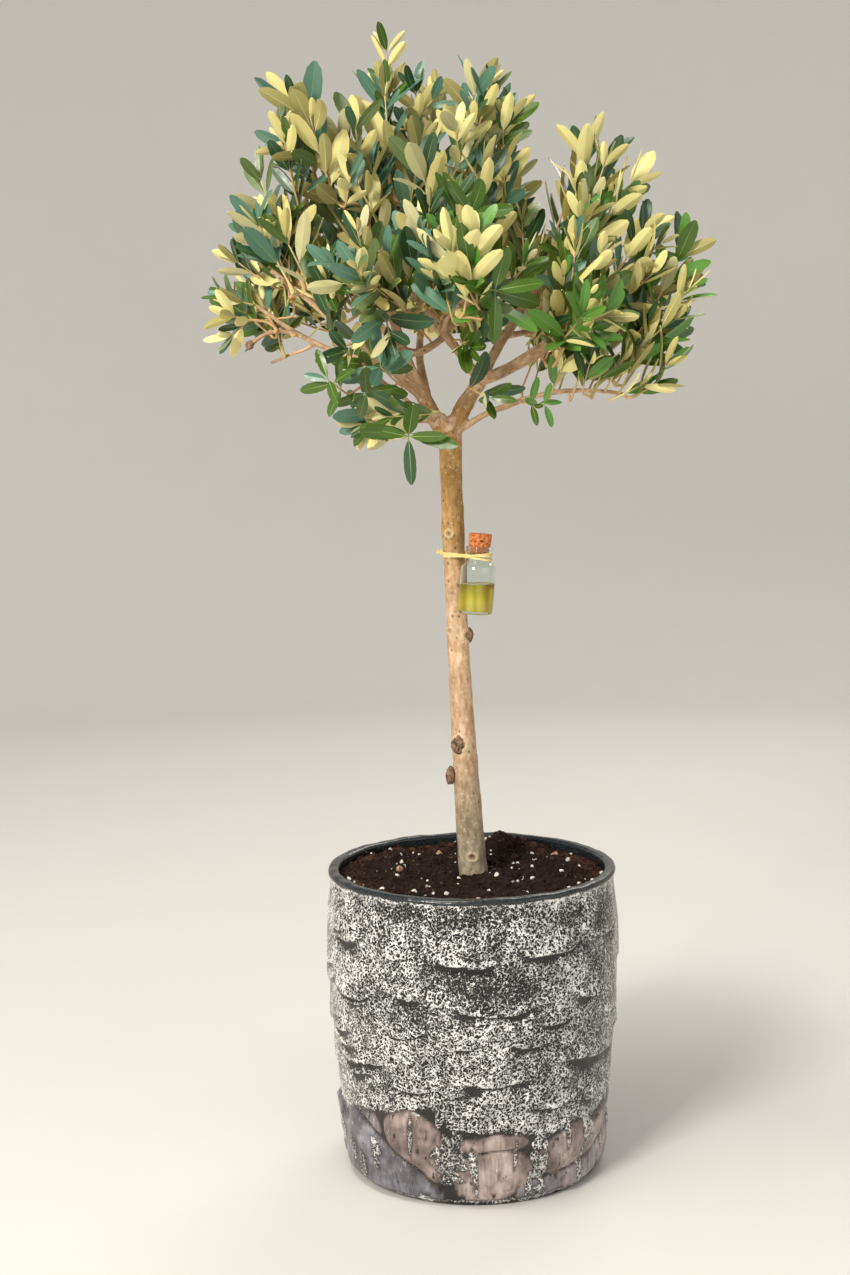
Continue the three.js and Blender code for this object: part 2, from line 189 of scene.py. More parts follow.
# The limbs: name, parent, where on it, tip, (bow up, bow left), (width at root, width at tip)
LIMBS = [
    ("bough_right", "trunk", 0.955, (16, 4, 675), (3, 0), (17, 12.5)),
    ("bough_front_right", "bough_right", 0.9, (75, -34, 702), (-5, -4), (11, 11.5)),
    ("bough_up_left", "bough_right", 0.88, (-50, -44, 752), (-2, 3), (9.5, 7.5)),
    ("bough_back_right", "bough_right", 0.9, (88, 22, 775), (8, 5), (11, 7)),
    ("bough_left", "trunk", 0.955, (-56, 18, 706), (-10, 0), (15.5, 12)),
    ("bough_left_upper", "bough_left", 0.94, (-68, 28, 802), (-4, 2), (10.5, 7)),
    ("bough_inner", "bough_left", 0.93, (14, 42, 770), (-26, -4), (8.5, 6)),
    ("bough_far_left", "bough_left", 0.5, (-158, -18, 762), (1, 2), (9.5, 6)),
    ("bough_lower_left", "bough_far_left", 0.25, (-172, 4, 735), (-8, -3), (7, 5)),
    ("bough_left_stub", "bough_lower_left", 0.64, (-178, -12, 702), (7, 0), (5, 5)),
    ("bough_left_spur", "bough_lower_left", 0.55, (-163, 12, 688), (-1, 0), (4.6, 4)),
    ("bough_low_left", "trunk", 0.985, (-86, 12, 634), (4, 0), (5.5, 3.6)),
    ("bough_low_front", "trunk", 0.985, (-46, -66, 634), (9, 3), (6, 4)),
    ("bough_low_side", "bough_left", 0.3, (-84, -52, 684), (-3, 0), (5.5, 4)),
    ("bough_low_right", "trunk", 0.96, (128, -22, 657), (15, 6), (7, 4.5)),
    ("bough_front", "bough_up_left", 0.5, (8, -94, 740), (-4, -10), (6, 4.5)),
    ("bough_back_left", "bough_left", 0.8, (-106, 82, 768), (3, 0), (8, 5.5)),
    ("bough_back", "bough_left", 0.4, (-16, 108, 764), (10, 14), (9, 6)),
    ("bough_back_low_right", "bough_back_right", 0.3, (84, 88, 724), (-3, 0), (7.5, 5)),
]
# The size of the skin's faces, and how much the remesh and its bark add to a limb's width
WOOD_VOXEL, LIMB_SLACK = 1.15, 0.9
TRUNK_SIDES, LIMB_SIDES, TWIG_SIDES = 20, 14, 6
# How the bark's tones go up the stem, dark and pale: its foot, its middle, its top and young wood
BARK_TONES = [("#8E866F", "#B9B09A"), ("#C9A37E", "#E6C8A8"), ("#A07B45", "#C19B5E"),
              ("#BF9A77", "#DDBF9F")]
# The radii between which a limb's wood goes from old to young
YOUNG_WOOD = (6.2, 3.0)

# Scars of old twigs on the stem: place, radius, height of the rim, depth of the eye
SCARS = [((-9.3, 1, 362.8), 9.5, 1.3, 0.0), ((-13.5, 4, 461), 6.0, 1.3, 0.0),
         ((-1, 5, 456), 8.0, 1.2, 0.0), ((-16, -2, 543), 5.4, 1.2, 1.6), ((0.5, -2, 265), 5.6, 1.0, 1.5),
         ((-6, -2, 408), 2.4, 0.3, 0.4), ((-14, 18, 590), 4.4, 0.9, 1.2), ((-2, 20, 350), 5.0, 0.9, 1.2),
         ((4, 16, 500), 3.8, 0.8, 1.0)]
# Brown stubs of cut twigs: place, half sizes along x, y and z
STUBS = [((-9.3, -0.6, 362.8), (6.6, 2.6, 7.4)), ((-16.6, 6, 335), (4.4, 4.4, 7.8)),
         ((0.6, 6, 456), (3.8, 4.0, 6.4)), ((-6, 19, 470), (4.6, 2.8, 5.6)),
         ((76, -35, 703.5), (6.4, 5.8, 6.8)), ((64, -29, 695), (4.4, 5.0, 4.0)),
         ((-177.5, -12, 702), (3.4, 3.4, 3.8))]
STUB_ROWS, STUB_COLUMNS = 14, 20

# How the crown grows, in millimetres and degrees
CROWN_CORE = (0, 20, 745)
GROW_SEED = 41
# How many shoots a mass of the given half size bears; in the open front, nearer and lower than the
# second pair says, it bears this share of them
SHOOTS_PER_MASS, MASS_HALF_SIZE = 12.0, 45
OPEN_FRONT, OPEN_SHARE = (-30, 725), 0.5
SHOOT_LENGTH = (50, 82)
# How much a shoot turns upwards, as (height in metres, lift)
SHOOT_LIFTS = [(0.64, -0.05), (0.70, 0.25), (0.78, 0.75)]
# A shoot's tip is the roomiest of some tries, none too far inwards, at shares of the mass's size, and
# it stays this far inside the mass for its leaves, in a mass at least this large
SHOOT_TRIES, INWARD_LIMIT, SHOOT_REACH = 14, -0.45, (0.45, 1.0)
LEAF_ROOM, LEAST_REACH, TIP_ROOM = 10, 7, 18
# The heights above which the wood draws shoots to it, and the stem bears twigs
DRAWING_WOOD, BEARING_WOOD = 635, 632
# Twigs: the step along them, how far their curve holds its first and last way, their width at the
# tip, how fast it grows with what they bear, and the radius of the wood that they give to others
TWIG_STEP, TWIG_HANDLE, TWIG_TIP, TWIG_GROWTH, TWIG_WOOD = 5, 0.36, 0.95, 0.42, 1.6
# The share of a twig's stalk that bears leaves, and the length at its foot that never does
LEAFY_STALK, LEAF_FREE_FOOT = (0.40, 0.75), 15
NODE_GAP = (11, 16)
LEAF_LENGTH, LENGTH_FACTOR = (32, 46), (0.86, 1.08)
LEAF_SLIMNESS, WIDTH_FACTOR = 0.30, (0.86, 1.15)
# The share of leaves that are missing, and the shares that keep their spray's upper and under tones
MISSING_LEAVES, SPRAY_UPPER, SPRAY_UNDER = 0.06, 0.7, 0.6

# The shoots that lead the crown's outline and front, as (foot, tip, leaf length, facing): a point is
# (x, height, depth) with x and height as the camera sees them in the plane of the stem, and facing is
# 1 where the pale undersides face the front, -1 where the upper sides do, and 0 where the rule decides
LEADING_SHOOTS = [
    ((-63, 868, 14), (-60, 937, 10), 28, 1), ((-118, 862, -14), (-134, 893, -24), 44, 1),
    ((-112, 846, -20), (-141, 862, -34), 36, 1), ((-84, 838, 0), (-87, 876, -14), 34, 1),
    ((-96, 816, -36), (-92, 838, -54), 28, 1), ((-30, 860, 20), (-37, 903, 12), 30, 1),
    ((-40, 878, 16), (-20, 903, 8), 26, 1), ((8, 862, 6), (12, 900, -6), 42, 1),
    ((24, 858, 8), (42, 882, -2), 34, 1), ((-2, 846, -30), (-4, 872, -44), 30, 1),
    ((-22, 800, -44), (-32, 838, -60), 40, 1), ((98, 792, 2), (100, 850, -6), 40, 1),
    ((104, 800, 4), (138, 828, 0), 38, 1), ((96, 770, -20), (98, 800, -34), 28, 1),
    ((118, 742, -4), (148, 788, -14), 36, 1), ((148, 712, -12), (181, 774, -10), 38, 1),
    ((123, 676, -20), (148, 712, -14), 42, -1), ((120, 652, -26), (146, 664, -34), 38, 0),
    ((-150, 792, 0), (-166, 836, -6), 38, 0), ((-142, 766, -14), (-156, 784, -26), 40, 1),
    ((-158, 750, 4), (-186, 770, -4), 36, 0), ((-168, 734, 8), (-196, 742, 2), 34, 0),
    ((-166, 722, -4), (-190, 726, -14), 28, 1), ((-44, 640, -60), (-48, 625, -88), 44, -1),
    ((-52, 666, -34), (-70, 683, -64), 36, -1), ((-100, 662, -44), (-114, 673, -64), 29, -1),
    ((10, 752, -80), (26, 744, -110), 44, -1), ((-28, 740, -74), (-20, 752, -100), 40, 0),
    ((-58, 744, -60), (-72, 751, -90), 31, 1), ((-98, 752, -70), (-106, 768, -94), 37, 0),
    ((60, 704, -34), (68, 713, -52), 25, 1), ((72, 700, -36), (83, 702, -60), 42, 1),
    ((40, 750, -78), (53, 768, -98), 34, 0), ((98, 660, -30), (104, 682, -50), 34, 0),
    ((50, 651, -14), (66, 650, -30), 22, -1), ((-8, 790, -80), (6, 806, -96), 38, -1),
    ((4, 664, -12), (20, 656, -34), 44, 0), ((48, 664, 2), (60, 692, -8), 28, 0),
    ((74, 664, 0), (84, 694, -10), 30, 0), ((92, 664, -16), (106, 702, -28), 35, 1),
    ((118, 662, -20), (134, 690, -36), 37, 0), ((-66, 732, -48), (-62, 708, -74), 42, 0),
    ((-78, 690, -22), (-82, 662, -46), 36, -1), ((-90, 704, -28), (-100, 696, -58), 34, 0),
    ((-4, 704, -28), (4, 698, -56), 34, 0), ((8, 742, -58), (18, 728, -88), 36, 0),
    ((-118, 756, -28), (-112, 748, -60), 33, 0), ((-84, 756, -42), (-78, 744, -74), 36, 0),
    ((-30, 706, 26), (-40, 720, 52), 34, 0), ((22, 706, 26), (30, 718, 56), 34, 0),
    ((-92, 704, 36), (-104, 716, 62), 34, 0), ((60, 726, 20), (70, 734, 50), 34, 0),
    ((-180, 722, -4), (-192, 712, -14), 28, 1), ((-112, 850, -22), (-125, 884, -30), 44, 1),
    ((56, 658, -4), (64, 688, 8), 34, 0), ((78, 660, 6), (90, 696, 16), 36, 0),
    ((104, 662, 2), (118, 700, 12), 38, 0), ((70, 654, -16), (80, 676, -28), 34, 1),
    ((126, 664, -8), (146, 704, -4), 40, 1), ((88, 652, -14), (98, 680, -26), 38, 1),
    ((106, 654, -20), (116, 682, -34), 40, 0), ((128, 656, -24), (142, 684, -34), 42, 0),
    ((144, 656, -26), (167, 680, -34), 42, 0), ((138, 654, -26), (158, 664, -34), 38, 0),
]

# A leaf's rows along its length, with the blade's half width at each as a share of the widest
LEAF_ROWS = [0.0, 0.08, 0.18, 0.33, 0.50, 0.70, 0.88, 1.0]
LEAF_WIDTHS = [0.07, 0.10, 0.52, 0.88, 1.0, 0.98, 0.74, 0.20]
LEAF_THICKNESS = 0.45
MIDRIB_WIDTH = 0.55
LEAF_RING = 10
# The least angle in degrees at which a leaf's edge is shaded as sharp
LEAF_EDGE = 58

# The bottle: foot, tilt, and its sections as (radius, height)
BOTTLE_FOOT = (5.3, -11, 476)
BOTTLE_TILT = math.radians(5)
BOTTLE_OUTSIDE = [(0, 0.9), (11.5, 0.5), (13.5, 0), (15, 1.5), (15, 38), (13.4, 41.6), (10, 45.5),
                  (10, 52.3), (11.3, 53.3), (11.3, 55.7), (10.5, 56.5)]
BOTTLE_INSIDE = [(8.6, 56.5), (8.6, 44.5), (12.2, 41), (13.6, 37.5), (13.6, 4.0), (12.4, 2.6), (0, 2.9)]
# The oil reaches a hair into the glass, so that no gap shows between them
OIL_LEVEL, OIL_RADIUS = 25, 13.64
OIL_SECTION = [(0, 2.8), (12.4, 2.56), (13.1, 3.0), (OIL_RADIUS, 4.0), (OIL_RADIUS, OIL_LEVEL + 0.5),
               (OIL_RADIUS - 0.35, OIL_LEVEL), (OIL_RADIUS * 0.6, OIL_LEVEL), (0, OIL_LEVEL)]
# The cork's section, as (radius, height above the bottle's mouth)
CORK_SECTION = [(0, -7), (7.75, -7), (8.35, -6.2), (8.4, -3), (8.45, -0.6), (8.9, 0.4), (9.2, 2),
                (9.35, 4), (9.5, 6), (9.6, 8), (9.7, 10), (9.5, 10.7), (8.9, 11), (6, 11), (3, 11), (0, 11)]
# The tie: its height, its strands as (how far they stand off, rise, width, drop to the right, sway),
# its loose ends as the two points that bend them, and the height of the neck that it holds
TIE_HEIGHT, NECK_HEIGHT = 524.8, 49
TIE_STRANDS = [(0.7, 2.3, 2.0, 0.4, 0.0), (1.1, -1.6, 1.9, 2.6, 0.35), (1.5, 0.6, 1.5, 1.0, 0.6),
               (0.9, -0.4, 1.7, -1.4, 0.2), (1.6, 1.7, 1.2, 1.8, 0.8)]
TIE_ENDS = [((-1.2, -1.6, 0.5), (-3.6, -2.4, 3.4)), ((-1.0, -2.0, -0.4), (-4.4, -1.2, 1.2)),
            ((1.5, -2.6, -0.4), (4.6, -4.2, -1.2))]
# The corners of a strand across it, as shares of its half width and half thickness
STRAND_CORNERS = [(1, 0.3), (0.5, 1), (-0.5, 1), (-1, 0.3), (-1, -0.3), (-0.5, -1), (0.5, -1), (1, -0.3)]

# Plain colours of the twigs and leaves, dealt out by spray
TWIG_TONES = [("twig_bark_tan", "#CDA877"), ("twig_bark_green", "#B5AC6C"), ("twig_bark_pale", "#DCCB95")]
# The second upper tone, a grey teal dealt out most on the left and above, is partly the leaves' own
# blue-green and partly a painted bluish reflection of the sky on their gloss
UPPER_TONES = ["#2D4E2E", "#527A66", "#436218", "#588C35", "#5F7240"]
# The third underside tone, a dull olive, is partly a painted shaded copy of the pale undersides and partly
# their own variety
UNDER_TONES = ["#EFE59C", "#DCD188", "#ABA366", "#CBC694"]
# How often each tone comes: on the left and above, low down, low on the right and in the front's
# middle, and in the rosettes that face the front
LEFT_WEIGHTS = [5, 6, 3, 0, 2]
LOW_WEIGHTS = [7, 4, 4, 0, 1]
RIGHT_WEIGHTS = [2, 1, 5, 7, 1]
ROSETTE_WEIGHTS = [4, 2, 7, 1, 0]
UNDER_WEIGHTS = [5, 4, 2, 3]
# How many sprays turn their upper sides outwards, low and high in the crown
OUTWARD_SHARES = [(0.70, 0.92), (0.80, 0.90)]
# The sprays by how they face: 1 for the pale undersides in front, 0 for any other, and -1 for a
# rosette. Each has the size of its last pair, its share of flipped leaves, and how wide they open
SPRAYS = {1: (0.82, 0.38, (24, 52)), 0: (0.52, 0.24, (24, 52)), -1: (0.84, 0.0, (58, 84))}
# How much closer together the last pairs of a rosette are
ROSETTE_GAP = 0.30
# High in the crown and right of its middle, a leaf whose drawn width falls under the first value
# grows as a needle, this much narrower than the others; the last value is the height in metres
NEEDLE_DRAW, NEEDLE_WIDTH, NEEDLE_HEIGHT = 0.878, 0.22, 0.71
# How far the upper sides turn to the light of the front, as (x, metres added to their distance
# outwards): more so on the left
FRONT_LEAN = [(-0.14, 0.15), (-0.02, 0.075), (0.05, 0.035)]


def linear(colour):
    """An sRGB hex value as a linear colour with full alpha."""
    parts = [int(colour[i:i + 2], 16) / 255 for i in (1, 3, 5)]
    return [p / 12.92 if p <= 0.04045 else ((p + 0.055) / 1.055) ** 2.4 for p in parts] + [1.0]


def metres(point):
    """A point or a list of points of the tables, in metres."""
    return np.array(point, float) * MM


def unit(vector):
    """The vector or rows of vectors at length one."""
    return vector / np.maximum(np.linalg.norm(vector, axis=-1, keepdims=True), 1e-12)


def smooth_step(low, high, value):
    """Rises softly from 0 at low to 1 at high."""
    share = np.clip((value - low) / (high - low), 0, 1)
    return share * share * (3 - 2 * share)


def waves(points, scale, seed=0):
    """Soft noise at each of the points, with features of about the scale."""
    shift = Vector((seed * 3.7, seed * 1.3, seed * 7.1))
    return np.array([noise.noise(Vector(p) / scale + shift) for p in points])


def from_table(value, table):
    """Reads a table of (place, value) rows at a place between them."""
    return np.interp(value, *zip(*table))


def add(tree, kind, inputs=None, output=0, **settings):
    """Adds one node with its settings, fills or links its inputs, and gives one of its outputs."""
    node = tree.nodes.new(kind)
    for name, setting in settings.items():
        setattr(node, name, setting)
    for socket, value in (inputs or {}).items():
        if isinstance(value, bpy.types.NodeSocket):
            tree.links.new(value, node.inputs[socket])
        else:
            node.inputs[socket].default_value = value
    return node if output is None else node.outputs[output]


def new_material(name, **sockets):
    """A material with its constants set on the shader's own sockets."""
    material = bpy.data.materials.new(name)
    material.use_nodes = True
    tree = material.node_tree
    shader = tree.nodes["Principled BSDF"]
    for socket, value in sockets.items():
        shader.inputs[socket.replace("_", " ")].default_value = value
    return material, tree, shader


def grains(place, size, detail=2.0, rough=0.5):
    """The inputs of a noise whose features are about size millimetres across."""
    return {"Vector": place, "Scale": 0.55 / (size * MM), "Detail": detail, "Roughness": rough}


def place_in(tree, stretch=(1, 1, 1), attribute=None):
    """The place that a pattern is drawn from, stretched by its three scales."""
    if attribute:
        source = add(tree, CARRIED, output="Vector", attribute_name=attribute)
    else:
        source = add(tree, "ShaderNodeTexCoord", output="Object")
    return add(tree, "ShaderNodeMapping", {"Vector": source, "Scale": stretch})


def tones(tree, source, low, high, first, second, most=1.0):
    """Goes from the first colour towards the second as the source goes from low to high."""
    share = add(tree, RANGE, {0: source, 1: low, 2: high, 4: most})
    ends = [linear(colour) if isinstance(colour, str) else colour for colour in (first, second)]
    return add(tree, MIX, {0: share, 6: ends[0], 7: ends[1]}, 2, data_type="RGBA")


def shaded(tree, colour, shade, share=1.0):
    """A colour darkened by another."""
    return add(tree, MIX, {0: share, 6: colour, 7: shade}, 2, data_type="RGBA", blend_type="MULTIPLY")


def weighted(tree, total, *terms):
    """A number plus several sources, each times its weight."""
    for source, weight in terms:
        total = add(tree, MATH, {0: source, 1: weight, 2: total}, operation="MULTIPLY_ADD")
    return total


def off_middle(tree, source):
    """How far a noise is from its middle value: where that is small, fine threads run."""
    return add(tree, MATH, {0: weighted(tree, -0.5, (source, 1.0))}, operation="ABSOLUTE")


def dress(tree, shader, colour, height, depth, strength=1.0):
    """Gives the shader its colour, and raises it by a depth in millimetres where the height is white."""
    if colour is not None:
        tree.links.new(colour, shader.inputs["Base Color"])
    bump = add(tree, "ShaderNodeBump", {"Distance": depth * MM, "Strength": strength, "Height": height})
    tree.links.new(bump, shader.inputs["Normal"])


def mottled(name, stretch, noise_form, colours, depth, attribute=None, **sockets):
    """A material with one noise in two colours and in relief. The noise is given as its size in
    millimetres, its detail and roughness, and the values at which it is dark and pale."""
    material, tree, shader = new_material(name, **sockets)
    size, detail, rough, low, high = noise_form
    source = add(tree, NOISE, grains(place_in(tree, stretch, attribute), size, detail, rough))
    dress(tree, shader, tones(tree, source, low, high, *colours), source, depth)
    return material


def mesh_object(name, points, faces, materials=(), slots=None, smooth=True):
    """A new object from points in metres and faces, with the material slot of each face."""
    mesh = bpy.data.meshes.new(name)
    mesh.from_pydata(np.asarray(points).tolist(), [], faces)
    for material in materials:
        mesh.materials.append(material)
    if slots is not None:
        mesh.polygons.foreach_set("material_index", np.asarray(slots, dtype=np.int32))
    mesh.polygons.foreach_set("use_smooth", [smooth] * len(mesh.polygons))
    mesh.update()
    thing = bpy.data.objects.new(name, mesh)
    bpy.context.scene.collection.objects.link(thing)
    return thing


def carry(thing, name, values):
    """Gives each point of a piece a value, or a vector, that its material reads."""
    values = np.asarray(values, dtype=np.float32)
    kind = "FLOAT" if values.ndim == 1 else "FLOAT_VECTOR"
    attribute = thing.data.attributes.new(name, kind, "POINT")
    attribute.data.foreach_set("value" if values.ndim == 1 else "vector", values.ravel())


def points_of(thing, what="co"):
    """The places or normals of a piece's points, one row each."""
    values = np.zeros(len(thing.data.vertices) * 3)
    thing.data.vertices.foreach_get(what, values)
    return values.reshape(-1, 3)


def move_points(thing, points):
    """Puts a piece's points at new places."""
    thing.data.vertices.foreach_set("co", points.ravel())


def settle(thing, nodes=()):
    """Makes a piece ride on the plant and stand for its nodes."""
    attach(thing, BODY)
    if nodes:
        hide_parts(*nodes)


def applied(thing):
    """Replaces a piece's mesh with what its modifiers make of it."""
    graph = bpy.context.evaluated_depsgraph_get()
    mesh = bpy.data.meshes.new_from_object(thing.evaluated_get(graph))
    thing.modifiers.clear()
    thing.data = mesh
    mesh.name = thing.name
    return thing


def turned(name, section, columns, material, place=None):
    """A closed body turned round an axis from a section that starts and ends on it."""
    section = metres(section)
    angles = np.arange(columns) * 2 * math.pi / columns
    points, rings = [], []
    for radius, height in section:
        if radius < 1e-7:
            rings.append([len(points)] * columns)
            points.append((0, 0, height))
        else:
            rings.append(list(range(len(points), len(points) + columns)))
            points += [(radius * math.sin(a), -radius * math.cos(a), height) for a in angles]
    faces = []
    for low, high in zip(rings, rings[1:]):
        for i in range(columns):
            j = (i + 1) % columns
            corners = [low[i], low[j], high[j], high[i]]
            faces.append(tuple(dict.fromkeys(corners)))
    points = np.array(points)
    if place is not None:
        points = np.array([place @ Vector(p) for p in points])
    return mesh_object(name, points, faces, [material])


def rounded(section, times=2):
    """Cuts the corners of a section, so that it turns softly."""
    section = np.array(section, float)
    for _ in range(times):
        first, second = section[:-1], section[1:]
        cut = np.stack([first * 0.78 + second * 0.22, first * 0.22 + second * 0.78], 1).reshape(-1, 2)
        section = np.vstack([section[:1], cut, section[-1:]])
    return section


# Stones under the pot's clear glaze: modelled in the clay, stained pink or slate blue and fired; they
# give the eye a soft streak with dark cracks and pale veins
def bare_stone(tree, place, patches, tint):
    streaks = add(tree, NOISE, grains(place_in(tree, (1, 1, 0.10)), 1.6, 4.0, 0.65))
    streak = weighted(tree, 0.0, (streaks, 0.45), (patches, 0.55))
    pink = tones(tree, streak, 0.38, 0.62, "#84746F", "#C8B6B0")
    blue = tones(tree, streak, 0.38, 0.62, "#676873", "#A3A1AB")
    clouds = add(tree, NOISE, grains(place, 19, 3.0, 0.6))
    shade = tones(tree, clouds, 0.40, 0.58, "#A7A2A0", "#FFFFFF")
    stone = shaded(tree, tones(tree, tint, 0.3, 0.9, pink, blue), shade)
    cracks = add(tree, NOISE, grains(place_in(tree, (1, 1, 0.4)), 3.2, 4.0, 0.7))
    stone = tones(tree, cracks, 0.35, 0.40, "#2E2726", stone)
    return tones(tree, cracks, 0.64, 0.70, stone, "#E4DBD6", 0.7)


# Glaze: a black stoneware glaze under a crawled white one, fired so that the white drew up into
# beads and threads; it gives the eye a fine hard speckle with dark folds. The black under each
# fold's edge is painted shade over glaze that is thinner there, and the black in the gaps between
# the low stones is a painted shadow over the black glaze. The real threads are too fine to show in
# the render, so they are drawn coarser
def speckled_glaze():
    material, tree, shader = new_material("crawled_stoneware_glaze", IOR=1.52)
    place = place_in(tree)
    white_share, crest, bare, lip, tint = [add(tree, CARRIED, output="Fac", attribute_name=name)
                                           for name in GLAZE_SHARES]
    beads, thick, thin, patches, clouds, lumps = [
        add(tree, NOISE, grains(place, size, detail))
        for size, detail in ((0.9, 2.0), (2.3, 1.5), (1.5, 1.0), (8, 2.0), (42, 2.0), (4, 3.0))]
    off_thread = add(tree, MATH, {0: off_middle(tree, thick), 1: off_middle(tree, thin)},
                     operation="MINIMUM")
    patch = add(tree, RANGE, {0: patches, 1: 0.3, 2: 0.7})
    cloud = add(tree, RANGE, {0: clouds, 1: 0.35, 2: 0.65})
    level = weighted(tree, -0.034, (beads, 0.28), (off_thread, -2.3), (crest, 0.055), (patch, 0.044),
                     (cloud, 0.056), (white_share, 0.34))
    white = add(tree, RANGE, {0: level, 1: 0.398, 2: 0.440})
    black = tones(tree, cloud, 0, 1, "#0E0F10", "#1F1D1C")
    pale = tones(tree, patch, 0, 1, "#C0BFBE", "#F6F6F4")
    colour = tones(tree, white, 0, 1, black, pale)
    colour = tones(tree, bare, 0, 1, colour, bare_stone(tree, place, patches, tint))
    colour = tones(tree, lip, 0, 1, colour, tones(tree, beads, 0.3, 0.7, "#14181A", "#2F373A"))
    tree.links.new(add(tree, RANGE, {0: white, 3: 0.24, 4: 0.42}), shader.inputs["Roughness"])
    dress(tree, shader, colour, weighted(tree, 0.0, (white, white_share), (lumps, lip)), 0.7)
    return material


# Peat: dark fibrous potting soil, damp in the middle; it gives the eye a rough red-brown crumb
def peat():
    material, tree, shader = new_material("damp_peat", Roughness=0.95, Specular_IOR_Level=0.2)
    place = place_in(tree)
    crumbs = add(tree, NOISE, grains(place, 4, 5.0, 0.7))
    fibres = add(tree, NOISE, grains(place_in(tree, (1, 0.3, 1)), 1.4, 3.0, 0.6))
    dry = add(tree, NOISE, grains(place, 45))
    near_wall = add(tree, CARRIED, output="Fac", attribute_name="near_wall")
    damp = tones(tree, crumbs, 0.35, 0.65, "#0C0605", "#281812")
    drier = tones(tree, fibres, 0.35, 0.65, "#2E1B13", "#5C3D2C")
    colour = tones(tree, weighted(tree, dry, (near_wall, 1.0)), 0.75, 1.1, damp, drier)
    dress(tree, shader, colour, weighted(tree, crumbs, (fibres, 1.0)), 1.6)
    return material


# Crumbs and grains of the soil: broken peat, bark, husk and white expanded glass rock, dull and
# pitted, so that each catches the light as a small rough lump
def crumb_material(name, dark, pale, rough):
    return mottled(name, (1, 1, 1), (0.9, 3.0, 0.6, 0.35, 0.65), (dark, pale), 0.4,
                   Roughness=rough, Specular_IOR_Level=0.25)


# Bark of a young olive: thin, smooth and matt, grey-green at the foot and ochre above, with small
# dark pores; it gives the eye a soft long grain with fine specks
def olive_bark():
    material, tree, shader = new_material("young_olive_bark", Roughness=0.72, Specular_IOR_Level=0.3)
    long_grain, flakes, blotches, fine = [
        add(tree, NOISE, grains(place_in(tree, (1, 1, stretch), "bark_place"), size, detail, rough))
        for stretch, size, detail, rough in ((0.38, 2.2, 3.0, 0.5), (0.8, 1.7, 4.0, 0.7),
                                             (0.6, 11, 2.0, 0.5), (0.7, 0.8, 3.0, 0.6))]
    cell_place = place_in(tree, (1, 1, 0.7), "bark_place")
    pores = add(tree, CELLS, {"Scale": 1 / (5.2 * MM), "Vector": cell_place}, "Distance")
    young_wood, rim, eye = [add(tree, CARRIED, output="Fac", attribute_name=name)
                            for name in ("young_wood", "scar_rim", "scar_eye")]
    foot, body, upper, young = [tones(tree, long_grain, 0.35, 0.65, *pair) for pair in BARK_TONES]
    place = add(tree, "ShaderNodeTexCoord", output="Object")
    height = add(tree, "ShaderNodeSeparateXYZ", {0: place}, 2)
    colour = tones(tree, height, 0.27, 0.37, foot, body)
    colour = tones(tree, height, 0.485, 0.545, colour, upper)
    above_fork = add(tree, RANGE, {0: height, 1: 0.643, 2: 0.668})
    youth = add(tree, MATH, {0: young_wood, 1: above_fork}, operation="MAXIMUM")
    colour = tones(tree, youth, 0, 1, colour, young)
    colour = shaded(tree, colour, tones(tree, blotches, 0.35, 0.68, "#C9BFAE", "#FFFFFF"), 0.75)
    colour = tones(tree, flakes, 0.46, 0.34, colour, "#8F6F4E", 0.55)
    colour = tones(tree, flakes, 0.56, 0.68, colour, "#F0DFC8", 0.45)
    pore = add(tree, RANGE, {0: pores, 1: 0.25, 2: 0.13})
    specks = add(tree, MATH, {0: pore, 1: add(tree, RANGE, {0: blotches, 1: 0.38, 2: 0.52})},
                 operation="MULTIPLY")
    colour = tones(tree, specks, 0, 1, colour, "#5F4A33", 0.75)
    colour = tones(tree, rim, 0, 1, colour, tones(tree, fine, 0.35, 0.65, "#C4AA84", "#E2CDA9"))
    colour = tones(tree, eye, 0, 1, colour, "#5B3A24")
    dress(tree, shader, colour, weighted(tree, long_grain, (fine, 0.5), (specks, -1.0)), 0.45)
    return material


# Scab of a cut twig: wood that dried where it was cut, cracked and red-brown
def scab():
    return mottled("dry_cut_stub", (1, 1, 0.6), (1.5, 4.0, 0.65, 0.38, 0.62), ("#46342A", "#A5836A"), 0.8,
                   Roughness=0.85, Specular_IOR_Level=0.25)


# Leaves and thin twigs: grown skin in one plain colour for each spray, waxy or downy, which a fine
# relief and an uneven gloss bring to life; the colour is on the shader itself
def plain_growth(name, colour, rough, grain_size, depth, specular=0.5):
    material, tree, shader = new_material(name, Base_Color=linear(colour), Specular_IOR_Level=specular)
    texture = add(tree, NOISE, grains(place_in(tree), grain_size, 3.0, 0.6))
    gloss = add(tree, RANGE, {0: texture, 1: 0.3, 2: 0.7, 3: rough - 0.07, 4: rough + 0.09})
    tree.links.new(gloss, shader.inputs["Roughness"])
    dress(tree, shader, None, texture, depth)
    return material


# Soda-lime bottle glass: blown, so that its wall ripples a little; clear with a green breath
def bottle_glass():
    material, tree, shader = new_material("blown_bottle_glass", Base_Color=linear("#F4FAF6"), IOR=1.5,
                                          Roughness=0.02, Transmission_Weight=1.0)
    dress(tree, shader, None, add(tree, NOISE, grains(place_in(tree), 9, 1.0)), 0.12, 0.35)
    return material


# Olive oil: pressed and filtered, clear golden green; the round bottle draws the light in it out
# into soft upright bands, which are coloured here because so little of the light passes through
def olive_oil():
    material, tree, shader = new_material("clear_olive_oil", IOR=1.47, Roughness=0.03,
                                          Transmission_Weight=0.12)
    bands = add(tree, NOISE, grains(place_in(tree, (1, 1, 0.03)), 5, 1.0))
    dress(tree, shader, tones(tree, bands, 0.42, 0.60, "#DCB60E", "#FFF15E"),
          add(tree, NOISE, grains(place_in(tree), 20, 1.0)), 0.02, 0.2)
    return material


